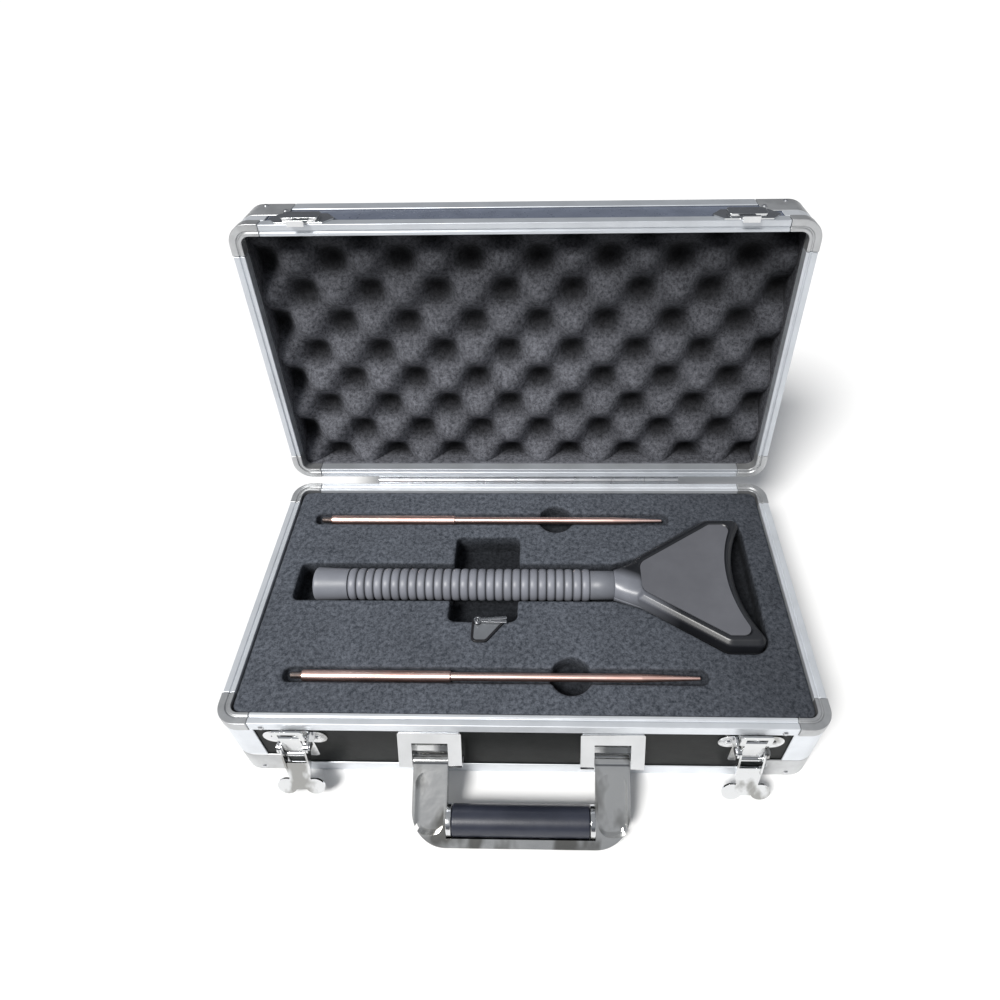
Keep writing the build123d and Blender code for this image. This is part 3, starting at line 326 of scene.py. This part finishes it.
class Look:
    """A procedural material in the making, read in the piece's own coordinates."""

    def __init__(self, name, rough, metallic=0.0, specular=0.5):
        self.material = bpy.data.materials.new(name)
        self.material.use_nodes = True
        self.nodes = self.material.node_tree.nodes
        self.links = self.material.node_tree.links
        self.shader = self.nodes["Principled BSDF"]
        self.shader.inputs["Roughness"].default_value = rough
        self.shader.inputs["Metallic"].default_value = metallic
        self.shader.inputs["Specular IOR Level"].default_value = specular
        self.place = self.nodes.new("ShaderNodeTexCoord").outputs["Object"]
        self.bump = None

    def stretched(self, scale):
        """The coordinates, scaled differently along each axis."""
        mapping = self.nodes.new("ShaderNodeMapping")
        mapping.inputs["Scale"].default_value = scale
        self.links.new(self.place, mapping.inputs["Vector"])
        return mapping.outputs["Vector"]

    def noise(self, size, detail, rough=0.55, scale=None):
        """Cloudy noise whose blotches are about this size."""
        node = self.nodes.new("ShaderNodeTexNoise")
        node.inputs["Scale"].default_value = 1.0 / size
        node.inputs["Detail"].default_value = detail
        node.inputs["Roughness"].default_value = rough
        self.links.new(self.stretched(scale) if scale else self.place, node.inputs["Vector"])
        return node.outputs["Fac"]

    def cells(self, size, feature="F1"):
        """Round cells of about this size."""
        node = self.nodes.new("ShaderNodeTexVoronoi")
        node.feature = feature
        node.inputs["Scale"].default_value = 1.0 / size
        self.links.new(self.place, node.inputs["Vector"])
        return node.outputs["Distance"]

    def ramp(self, value, stops):
        """A colour ramp over a value; each stop is a position and a grey or a colour."""
        node = self.nodes.new("ShaderNodeValToRGB")
        fill_ramp(node, stops)
        self.links.new(value, node.inputs["Fac"])
        return node.outputs["Color"]

    def mix(self, first, second, amount, blend="MIX"):
        """Two colours mixed by a fixed or a varying amount."""
        node = self.nodes.new("ShaderNodeMix")
        node.data_type = "RGBA"
        node.blend_type = blend
        for index, value in ((MIX_FIRST, first), (MIX_SECOND, second), (MIX_AMOUNT, amount)):
            socket = node.inputs[index]
            if isinstance(value, bpy.types.NodeSocket):
                self.links.new(value, socket)
            elif isinstance(value, tuple):
                socket.default_value = (*value, 1.0)
            else:
                socket.default_value = value
        return node.outputs[MIX_RESULT]

    def colour(self, value):
        """Sets the base colour, which varies over the piece."""
        self.links.new(value, self.shader.inputs["Base Color"])

    def rough(self, value, low, high):
        """Roughness that follows a value between two levels."""
        node = self.nodes.new("ShaderNodeMapRange")
        node.inputs["To Min"].default_value = low
        node.inputs["To Max"].default_value = high
        self.links.new(value, node.inputs["Value"])
        self.links.new(node.outputs["Result"], self.shader.inputs["Roughness"])

    def share(self, value, start, end):
        """A value as a share of the way from a start to an end."""
        node = self.nodes.new("ShaderNodeMapRange")
        node.inputs["From Min"].default_value = start
        node.inputs["From Max"].default_value = end
        self.links.new(value, node.inputs["Value"])
        return node.outputs["Result"]

    def vector(self, operation, first, second=None):
        """A step of vector arithmetic on a socket and, where it needs one, a fixed vector."""
        node = self.nodes.new("ShaderNodeVectorMath")
        node.operation = operation
        self.links.new(first, node.inputs[0])
        if second is not None:
            node.inputs[1].default_value = second
        return node

    def along(self, direction, start, end):
        """How far a point lies along a direction, from 0 at the start to 1 at the end."""
        dot = self.vector("DOT_PRODUCT", self.place, direction)
        return self.share(dot.outputs["Value"], start, end)

    def radius(self, middle, start, end):
        """How far a point lies from a line along X through a middle, as a share from start to end."""
        offset = self.vector("SUBTRACT", self.place, middle).outputs["Vector"]
        across = self.vector("MULTIPLY", offset, (0.0, 1.0, 1.0)).outputs["Vector"]
        return self.share(self.vector("LENGTH", across).outputs["Value"], start, end)

    def relief(self, value, height, strength):
        """Adds a layer of relief of this height."""
        node = self.nodes.new("ShaderNodeBump")
        node.inputs["Strength"].default_value = strength
        node.inputs["Distance"].default_value = height
        self.links.new(value, node.inputs["Height"])
        if self.bump:
            self.links.new(self.bump, node.inputs["Normal"])
        self.bump = node.outputs["Normal"]
        self.links.new(self.bump, self.shader.inputs["Normal"])

    def coat(self, weight, rough):
        """A clear coat."""
        self.shader.inputs["Coat Weight"].default_value = weight
        self.shader.inputs["Coat Roughness"].default_value = rough


def foam_look(name, dark, light, *shades):
    """Open-cell foam: speckled and matt, and darker along each shade, such as down into a cut-out."""
    look = Look(name, rough=0.95, specular=0.15)
    middle = tuple((a + b) / 2 for a, b in zip(dark, light))
    speckle = look.noise(size=0.0032, detail=8.0, rough=0.85)
    grain = look.ramp(speckle, [(0.40, dark), (0.5, middle), (0.61, light)])
    pores = look.ramp(look.cells(FOAM_PORE), [(0.1, 0.62), (0.5, 1.0)])
    cloud = look.ramp(look.noise(size=0.03, detail=2.0), [(0.35, 0.9), (0.65, 1.08)])
    body = look.mix(look.mix(grain, pores, 0.5, "MULTIPLY"), cloud, 0.8, "MULTIPLY")
    for direction, start, end, stops in shades:
        body = look.mix(body, look.ramp(look.along(direction, start, end), stops), 1.0, "MULTIPLY")
    look.colour(body)
    look.relief(look.cells(FOAM_PORE), height=0.0003, strength=0.6)
    look.relief(speckle, height=0.0006, strength=0.6)
    return look.material


def metal_look(name, colour, rough, streak=None, wear=0.1, metallic=1.0):
    """Worn metal: faint blotches, hair scratches, and streaks along a brushed direction."""
    look = Look(name, rough, metallic=metallic)
    cloud = look.noise(size=0.022, detail=4.0)
    dull = tuple(c * (1.0 - wear) for c in colour)
    look.colour(look.mix(colour, dull, look.ramp(cloud, [(0.38, 0.0), (0.68, 1.0)])))
    gloss = look.noise(size=0.009, detail=5.0, rough=0.65)
    look.rough(gloss, low=max(rough - 0.07, 0.04), high=rough + 0.09)
    if streak:
        streaks = look.noise(size=0.0012, detail=3.0, rough=0.6, scale=streak)
        look.relief(streaks, height=0.00006, strength=0.35)
    look.relief(look.noise(size=0.0007, detail=2.0), height=0.00003, strength=0.25)
    return look.material


def plastic_look(name, colour, rough, grain, height, tint=0.25, coat=0.0, specular=0.5):
    """Moulded plastic: fine grain, slight shifts of tone and of gloss."""
    look = Look(name, rough, specular=specular)
    pale = tuple(c * (1.0 + tint) + 0.004 for c in colour)
    cloud = look.ramp(look.noise(MOULD_CLOUD, detail=4.0), [(0.35, 0.0), (0.7, 1.0)])
    look.colour(look.mix(colour, pale, cloud))
    look.rough(look.noise(MOULD_GLOSS, detail=4.0), low=rough - 0.06, high=rough + 0.08)
    look.relief(look.cells(grain, "SMOOTH_F1"), height, strength=0.6)
    if coat:
        look.coat(coat, rough=0.15)
    return look.material


def chrome_look(name, bright, dark, size):
    """Chrome on a cast piece: mirror bright, with blotches of painted dark reflection, where it is also
    rougher.
    """
    look = Look(name, rough=0.12, metallic=1.0)
    reflection_blotch = look.noise(size, detail=3.0, rough=0.5, scale=(1.0, 0.6, 0.6))
    # painted reflection: dark blotches for the dark surroundings that the chrome mirrors
    look.colour(look.ramp(reflection_blotch, [(0.42, dark), (0.53, bright)]))
    look.rough(reflection_blotch, low=0.2, high=0.08)
    look.relief(look.noise(size=0.009, detail=2.0), height=0.0004, strength=0.25)
    return look.material


def copper_look():
    """Drawn copper: rosy and bright, with soft streaks along the rod and a little tarnish."""
    look = Look("copper_drawn", rough=0.3, metallic=1.0)
    spots = look.noise(size=0.01, detail=4.0, rough=0.55, scale=(0.25, 1.0, 1.0))
    tarnish = look.ramp(spots, [(0.4, 0.0), (0.72, 1.0)])
    look.colour(look.mix((1.0, 0.72, 0.65), (0.86, 0.53, 0.45), tarnish))
    gloss = look.noise(size=0.006, detail=3.0, rough=0.5, scale=(0.3, 1.0, 1.0))
    look.rough(gloss, low=0.28, high=0.4)
    return look.material


def rubber_look():
    """The grip sleeve's rubber: grey ribs, painted shade dark in the grooves between them, and a smooth
    collar without it.
    """
    low, high = (Vector(corner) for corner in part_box("detector_grip_sleeve"))
    middle = (low + high) / 2
    outer = (high.z - low.z) / 2
    rib_right = high.x - COLLAR_LENGTH
    border = 0.2 * MM
    look = Look("sleeve_rubber", rough=0.4)
    cloud = look.ramp(look.noise(MOULD_CLOUD, detail=4.0), [(0.35, 0.9), (0.7, 1.1)])
    # painted shade: darker down in each groove between the ribs
    depth = look.radius(middle, outer - RIB_GROOVE, outer)
    groove_shade = look.ramp(depth, [(0.0, 0.1), (0.45, 0.5), (0.85, 1.0)])
    beyond = look.along(RIGHTWARD, rib_right - border, rib_right + border)
    clean = look.ramp(beyond, [(0.0, 0.0), (1.0, 1.0)])
    ribbed = look.mix((0.23, 0.24, 0.275), groove_shade, 1.0, "MULTIPLY")
    look.colour(look.mix(look.mix(ribbed, (0.17, 0.18, 0.205), clean), cloud, 1.0, "MULTIPLY"))
    look.rough(look.noise(MOULD_GLOSS, detail=4.0), low=0.34, high=0.5)
    look.relief(look.cells(MOULD_GRAIN, "SMOOTH_F1"), MOULD_RELIEF, strength=0.6)
    return look.material


def shell_look(name, rough, specular):
    """The head's plastic: grey on the neck, as the handle is, and black in the head; the neck's far side
    is painted shade, as black as the head.
    """
    look = Look(name, rough, specular=specular)
    cloud = look.ramp(look.noise(MOULD_CLOUD, detail=4.0), [(0.35, 0.92), (0.7, 1.1)])
    ahead = look.along(RIGHTWARD, NECK_GREY, HEAD_BLACK)
    # painted shade: the far side of the neck black
    far_side_shade = look.along(FAR_SHADE_SLANT, FAR_SHADE_START, FAR_SHADE_END)
    black = look.mix(ahead, far_side_shade, 1.0, "LIGHTEN")
    tone = look.mix((0.19, 0.20, 0.23), (0.012, 0.013, 0.016), black)
    look.colour(look.mix(tone, cloud, 1.0, "MULTIPLY"))
    look.rough(look.noise(MOULD_GLOSS, detail=4.0), low=rough - 0.04, high=rough + 0.08)
    look.relief(look.cells(MOULD_GRAIN, "SMOOTH_F1"), MOULD_RELIEF, strength=0.6)
    return look.material


def board_look():
    """Green circuit board with a hint of tracks."""
    look = Look("board_green", rough=0.35)
    lines = look.noise(size=0.0022, detail=1.0, rough=0.4, scale=(1.0, 0.2, 1.0))
    tracks = look.ramp(lines, [(0.49, 0.0), (0.52, 1.0)])
    look.colour(look.mix((0.012, 0.12, 0.045), (0.03, 0.22, 0.085), tracks))
    look.relief(tracks, height=0.00008, strength=0.5)
    return look.material


def cell_look():
    """Shrink-wrapped cell: a dark sleeve with tan bands around it."""
    look = Look("cell_wrap", rough=0.3)
    band = look.noise(size=0.05, detail=1.0, rough=0.3, scale=(1.0, 0.01, 0.01))
    look.colour(look.ramp(band, [(0.5, (0.02, 0.022, 0.03)), (0.56, (0.3, 0.22, 0.1))]))
    look.relief(look.noise(size=0.004, detail=3.0), height=0.0001, strength=0.4)
    return look.material


def insert_foam_look():
    """The foam in the base, with painted shade: darker down in its cut-outs and towards the right."""
    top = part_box("foam_insert")[1][2]
    return foam_look(
        "foam_charcoal",
        INSERT_DARK,
        INSERT_LIGHT,
        # painted shade down into the cut-outs, where the shade falls
        (DOWNWARD, SHADE_SHALLOW - top, SHADE_DEEP - top, INSERT_DOWN_SHADE),
        # painted shade towards the right, where the light falls off
        (RIGHTWARD, SHADE_LEFT, SHADE_RIGHT, INSERT_RIGHT_SHADE),
    )


def lid_foam_look():
    """The foam in the lid, with painted shade: darker in its pits, up the open lid and towards the right.
    """
    inward = (0.0, math.sin(math.radians(LID_OPEN)), math.cos(math.radians(LID_OPEN)))
    face = Vector(inward).dot(HINGE) + LID_RIM - HINGE.z
    return foam_look(
        "foam_egg_crate",
        EGG_DARK,
        EGG_LIGHT,
        # painted shade in the pits, and painted light on the peaks
        (inward, face + EGG_PEAK, face + EGG_PIT, EGG_PIT_SHADE),
        # painted shadow of the lid's wall, up the open lid
        (UPWARD, SHADE_LOW, SHADE_HIGH, EGG_UP_SHADE),
        # painted shade towards the right, where the light falls off
        (RIGHTWARD, SHADE_LEFT, SHADE_RIGHT, EGG_RIGHT_SHADE),
    )


# looks by material slot
looks = {
    "black_panel": plastic_look(
        "panel_black", (0.006, 0.007, 0.007), rough=0.36, grain=0.0009, height=0.00008, specular=0.07
    ),
    "satin_aluminium": metal_look(
        "aluminium_satin", (0.74, 0.77, 0.81), rough=0.4, streak=BRUSHED, metallic=0.55
    ),
    "corner_steel": metal_look("corner_zinc", (0.55, 0.56, 0.57), rough=0.38, wear=0.3, metallic=0.75),
    "rivet_steel": metal_look("rivet_steel", (0.60, 0.61, 0.63), rough=0.28),
    "charcoal_foam": insert_foam_look(),
    "bright_chrome": metal_look("chrome_bright", (0.72, 0.73, 0.74), rough=0.12, wear=0.12),
    "grip_plastic": plastic_look(
        "grip_black", (0.020, 0.023, 0.036), rough=0.34, grain=0.0012, height=0.00006
    ),
    "detector_plastic": shell_look("shell_tone_far_shade", rough=0.32, specular=0.65),
    "detector_rubber": rubber_look(),
    "face_grey": plastic_look(
        "face_grey", (0.105, 0.108, 0.122), rough=0.45, grain=0.0008, height=0.00003, tint=0.1
    ),
    "tube_aluminium": metal_look("tube_aluminium", (0.75, 0.76, 0.78), rough=0.3, streak=DRAWN),
    "socket_brass": metal_look("socket_brass", (0.78, 0.57, 0.25), rough=0.28),
    "board_green": board_look(),
    "cell_wrap": cell_look(),
    "copper": copper_look(),
    "stub_brass": metal_look("stub_bright", (0.66, 0.58, 0.54), rough=0.3),
    # the keys' steel, darker than the rivets' steel: painted shade of the dark pocket that holds them
    "key_steel": metal_look("key_steel", (0.42, 0.43, 0.45), rough=0.28),
    "fob_black": plastic_look(
        "fob_black", (0.010, 0.010, 0.012), rough=0.35, grain=0.0008, height=0.00004
    ),
    "fob_clear": plastic_look(
        "fob_clear", (0.12, 0.128, 0.14), rough=0.16, grain=0.004, height=0.00004, tint=0.2, coat=0.5
    ),
}

# looks of nodes that differ from the rest of their slot
# chrome with painted dark reflections, for the latches and the bail
latch_chrome = chrome_look("chrome_latch", (0.74, 0.75, 0.76), (0.36, 0.36, 0.35), size=0.014)
# a darker copy of the satin aluminium for the lid: painted shade
lid_aluminium_shaded = metal_look("aluminium_lid_shaded", (0.60, 0.63, 0.67), rough=0.38, streak=BRUSHED, metallic=0.6)
special_looks = {
    "handle_bail": chrome_look("chrome_cast", (0.72, 0.72, 0.71), (0.26, 0.255, 0.24), size=0.026),
    "latch_base_left": latch_chrome,
    "latch_base_right": latch_chrome,
    "latch_lever_left": latch_chrome,
    "latch_lever_right": latch_chrome,
    "detector_lower_shell": shell_look("shell_lower", rough=0.6, specular=0.1),
    "detector_end_cap": plastic_look(
        "cap_grey", (0.20, 0.21, 0.24), rough=0.42, grain=MOULD_GRAIN, height=MOULD_RELIEF, tint=0.1
    ),
    "lid_rim_rails": lid_aluminium_shaded,
    "lid_edging": lid_aluminium_shaded,
    # the lid's front panel in a bluish grey: a painted reflection of the sky on its black plastic
    "lid_front_panel": plastic_look(
        "panel_painted_sheen", (0.10, 0.115, 0.155), rough=0.28, grain=0.0009, height=0.00008
    ),
}
egg_foam_look = lid_foam_look()


# pieces


def new_piece(name, bm, sharp):
    """A new object from a mesh in the making, smooth but for edges that turn by more than an angle."""
    bmesh.ops.recalc_face_normals(bm, faces=bm.faces)
    mesh = bpy.data.meshes.new(name)
    bm.to_mesh(mesh)
    bm.free()
    piece = bpy.data.objects.new(name, mesh)
    bpy.context.collection.objects.link(piece)
    for face in mesh.polygons:
        face.use_smooth = True
    mesh.set_sharp_from_angle(angle=math.radians(sharp))
    return piece


def settle(piece):
    """Puts the result of a piece's modifiers into its mesh."""
    bpy.context.view_layer.update()
    solid = piece.evaluated_get(bpy.context.evaluated_depsgraph_get())
    mesh = bpy.data.meshes.new_from_object(solid)
    mesh.name = piece.name
    piece.modifiers.clear()
    piece.data = mesh


def dress(piece, node, look=None):
    """Lets a piece stand for a node: it moves with the node's body and has its finish."""
    slot = slot_of[node]
    piece.data.materials.clear()
    piece.data.materials.append(look or special_looks.get(node, looks[slot]))
    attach(piece, body_of[node])
    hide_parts(node)


def solid_of(node):
    """A clean copy of a node's mesh, with flat areas as single faces."""
    bm = bmesh.new()
    bm.from_mesh(frame["nodes"][node].data)
    bmesh.ops.remove_doubles(bm, verts=bm.verts, dist=WELD_GAP)
    bmesh.ops.dissolve_limit(bm, angle_limit=math.radians(FLAT_ANGLE), verts=bm.verts, edges=bm.edges)
    return bm


def rounded(node, width):
    """Replaces a hard node by the same shape with its edges rounded, so that they catch the light."""
    bm = solid_of(node)
    bmesh.ops.connect_verts_concave(bm, faces=bm.faces[:])
    limit = math.radians(EDGE_ANGLE)
    edges = [e for e in bm.edges if len(e.link_faces) == 2 and e.calc_face_angle(0.0) > limit]
    bmesh.ops.bevel(
        bm,
        geom=edges,
        offset=width,
        segments=EDGE_SEGMENTS,
        profile=0.5,
        affect="EDGES",
        clamp_overlap=True,
    )
    bmesh.ops.triangulate(bm, faces=[f for f in bm.faces if len(f.verts) > 4])
    piece = new_piece(node + "_rounded", bm, sharp=50.0)
    smooth = piece.modifiers.new("normals", "WEIGHTED_NORMAL")
    smooth.keep_sharp = True
    settle(piece)
    dress(piece, node)


def moulded(name, node, cell, passes):
    """A copy of a node's shape with all its edges softened, as a moulded or cut soft piece has them."""
    piece = bpy.data.objects.new(name, frame["nodes"][node].data.copy())
    bpy.context.collection.objects.link(piece)
    remesh = piece.modifiers.new("cells", "REMESH")
    remesh.mode = "VOXEL"
    remesh.voxel_size = cell
    remesh.use_smooth_shade = True
    smooth = piece.modifiers.new("soften", "SMOOTH")
    smooth.factor = 0.5
    smooth.iterations = passes
    settle(piece)
    return piece


def roughen(piece):
    """Moves the foam insert's surface in and out by a broad and a fine unevenness."""
    vertices = piece.data.vertices
    normals = [vertex.normal.copy() for vertex in vertices]
    for vertex, normal in zip(vertices, normals):
        broad = INSERT_BROAD * noise.noise(vertex.co * INSERT_BROAD_WAVES)
        fine = INSERT_FINE * noise.noise(vertex.co * INSERT_FINE_WAVES)
        vertex.co += normal * (broad + fine)


def on_ring(x, middle, radius, turn):
    """A point on a ring about a line along X through a middle."""
    return x, middle.y + radius * math.cos(turn), middle.z + radius * math.sin(turn)


def lathe(name, profile, middle, segments, sharp):
    """A body of revolution about a line along X; the profile is a closed loop of x and radius."""
    bm = bmesh.new()
    rings = []
    for step in range(segments):
        turn = 2 * math.pi * step / segments
        rings.append([bm.verts.new(on_ring(x, middle, radius, turn)) for x, radius in profile])
    count = len(profile)
    for step in range(segments):
        here = rings[step]
        there = rings[(step + 1) % segments]
        for i in range(count):
            j = (i + 1) % count
            bm.faces.new((here[i], here[j], there[j], there[i]))
    return new_piece(name, bm, sharp)


def make_sleeve():
    """The grip sleeve: round ribs with narrow grooves, then the smooth collar."""
    low, high = (Vector(corner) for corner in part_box("detector_grip_sleeve"))
    middle = (low + high) / 2
    radius = (high.z - low.z) / 2
    rib_right = high.x - COLLAR_LENGTH
    pitch = (rib_right - low.x) / RIB_COUNT
    collar = radius - COLLAR_STEP
    profile = [(low.x, SLEEVE_BORE)]
    for step in range(RIB_COUNT * RIB_STEPS):
        swell = abs(math.sin(math.pi * step / RIB_STEPS)) ** RIB_FULLNESS
        profile.append((low.x + pitch * step / RIB_STEPS, radius - RIB_GROOVE * (1.0 - swell)))
    profile += [
        (rib_right, collar - COLLAR_EDGE),
        (rib_right + COLLAR_EDGE, collar),
        (high.x - COLLAR_EDGE, collar),
        (high.x, collar - COLLAR_EDGE),
        (high.x, SLEEVE_BORE),
    ]
    sleeve = lathe("grip_sleeve_ribbed", profile, middle, SLEEVE_SEGMENTS, sharp=60.0)
    dress(sleeve, "detector_grip_sleeve")


def make_stub(node):
    """A rod's threaded stub, with a helical thread and a chamfered end."""
    low, high = (Vector(corner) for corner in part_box(node))
    middle = (low + high) / 2
    radius = (high.z - low.z) / 2
    rings = int((high.x - low.x) / THREAD_PITCH * THREAD_RINGS)
    bm = bmesh.new()
    grid = []
    for i in range(rings + 1):
        x = i * THREAD_PITCH / THREAD_RINGS
        taper = CHAMFER_DEPTH - CHAMFER_SLOPE * x
        row = []
        for k in range(THREAD_SEGMENTS):
            turn = 2 * math.pi * k / THREAD_SEGMENTS
            phase = (i / THREAD_RINGS - k / THREAD_SEGMENTS) % 1.0
            groove = THREAD_DEPTH * (1.0 - abs(2.0 * phase - 1.0))
            row.append(bm.verts.new(on_ring(low.x + x, middle, radius - max(groove, taper), turn)))
        grid.append(row)
    for i in range(rings):
        for k in range(THREAD_SEGMENTS):
            n = (k + 1) % THREAD_SEGMENTS
            bm.faces.new((grid[i][k], grid[i + 1][k], grid[i + 1][n], grid[i][n]))
    bm.faces.new(grid[0])
    bm.faces.new(grid[-1])
    stub = new_piece(node + "_thread", bm, sharp=40.0)
    dress(stub, node)


def make_insert():
    """The foam insert with soft, slightly uneven cut-outs, and the plain foam under it."""
    insert = moulded("foam_insert_cut", "foam_insert", INSERT_CELL, passes=3)
    roughen(insert)
    dress(insert, "foam_insert")
    underlay = moulded("foam_underlay_block", "foam_underlay", UNDERLAY_CELL, passes=2)
    dress(underlay, "foam_underlay")


def make_shells():
    """The two halves of the head, moulded with soft edges."""
    for node in ("detector_upper_shell", "detector_lower_shell"):
        dress(moulded(node + "_moulded", node, SHELL_CELL, passes=5), node)


def lid_matrix():
    """Takes the shut lid to where it stands open."""
    turn = Matrix.Rotation(math.radians(-LID_OPEN), 4, "X")
    return Matrix.Translation(HINGE) @ turn @ Matrix.Translation(-HINGE)


def egg_depth(x, y):
    """Depth of the egg-crate surface below the rim."""
    across = math.cos(2 * math.pi * (x - EGG_PHASE[0]) / EGG_PITCH)
    along = math.cos(math.pi * (y - EGG_PHASE[1]) / EGG_ROW)
    sunk = (0.5 * (1.0 - across * along)) ** EGG_FULLNESS
    broad = EGG_BROAD * noise.noise(Vector((x, y, EGG_BROAD_LAYER)) * EGG_BROAD_WAVES)
    fine = EGG_FINE * noise.noise(Vector((x, y, EGG_FINE_LAYER)) * EGG_FINE_WAVES)
    return EGG_PEAK + (EGG_PIT - EGG_PEAK) * sunk + (broad + fine)


def make_egg_foam():
    """The egg-crate foam in the lid: staggered peaks and pits, cut straight at its edges."""
    columns = int(2 * FOAM_HALF_WIDTH / EGG_STEP)
    rows = int(2 * FOAM_HALF_DEPTH / EGG_STEP)
    bm = bmesh.new()
    front = []
    for j in range(rows + 1):
        y = -FOAM_HALF_DEPTH + 2 * FOAM_HALF_DEPTH * j / rows
        line = []
        for i in range(columns + 1):
            x = -FOAM_HALF_WIDTH + 2 * FOAM_HALF_WIDTH * i / columns
            line.append(bm.verts.new((x, y, LID_RIM + egg_depth(x, y))))
        front.append(line)
    for j in range(rows):
        for i in range(columns):
            bm.faces.new((front[j][i], front[j][i + 1], front[j + 1][i + 1], front[j + 1][i]))
    rim = front[0][:-1] + [line[-1] for line in front[:-1]]
    rim += list(reversed(front[-1]))[:-1] + [line[0] for line in reversed(front[1:])]
    back = [bm.verts.new((v.co.x, v.co.y, LID_RIM + LID_DEPTH)) for v in rim]
    for k in range(len(rim)):
        n = (k + 1) % len(rim)
        bm.faces.new((rim[k], rim[n], back[n], back[k]))
    bm.faces.new(back)
    bmesh.ops.transform(bm, matrix=lid_matrix(), verts=bm.verts)
    foam = new_piece("egg_foam", bm, sharp=60.0)
    dress(foam, "lid_foam", egg_foam_look)


def make_lining():
    """Flat foam strips along the walls of the lid, between its rim and its top."""
    bm = bmesh.new()
    loops = []
    for inset, depth in (
        (LINING_FACE, LINING_FROM + LINING_EDGE),
        (LINING_FACE - LINING_EDGE, LINING_FROM),
        (LINING_BACK, LINING_FROM),
        (LINING_BACK, LID_DEPTH),
        (LINING_FACE, LID_DEPTH),
    ):
        wide = CASE_HALF_WIDTH - inset
        deep = CASE_HALF_DEPTH - inset
        corners = [(-wide, -deep), (wide, -deep), (wide, deep), (-wide, deep)]
        loop = []
        for k in range(len(corners)):
            (x0, y0), (x1, y1) = corners[k], corners[(k + 1) % len(corners)]
            for step in range(LINING_STEPS):
                share = step / LINING_STEPS
                spot = Vector((x0 + (x1 - x0) * share, y0 + (y1 - y0) * share, LID_RIM + depth))
                spot.z += LINING_UNEVEN * noise.noise(spot * LINING_WAVES)
                loop.append(bm.verts.new(spot))
        loops.append(loop)
    for a in range(len(loops)):
        here = loops[a]
        there = loops[(a + 1) % len(loops)]
        for k in range(len(here)):
            n = (k + 1) % len(here)
            bm.faces.new((here[k], here[n], there[n], there[k]))
    bmesh.ops.transform(bm, matrix=lid_matrix(), verts=bm.verts)
    lining = new_piece("lid_lining", bm, sharp=40.0)
    dress(lining, "lid_foam", egg_foam_look)


make_camera()
make_light()
make_floor()

for node, slot in slot_of.items():
    shown = frame["nodes"][node].data
    shown.materials.clear()
    shown.materials.append(special_looks.get(node, looks[slot]))

make_insert()
make_egg_foam()
make_lining()
make_sleeve()
make_shells()
for node in ("rod_front_stub", "rod_back_stub"):
    make_stub(node)
for node, width in ROUNDED.items():
    rounded(node, width)
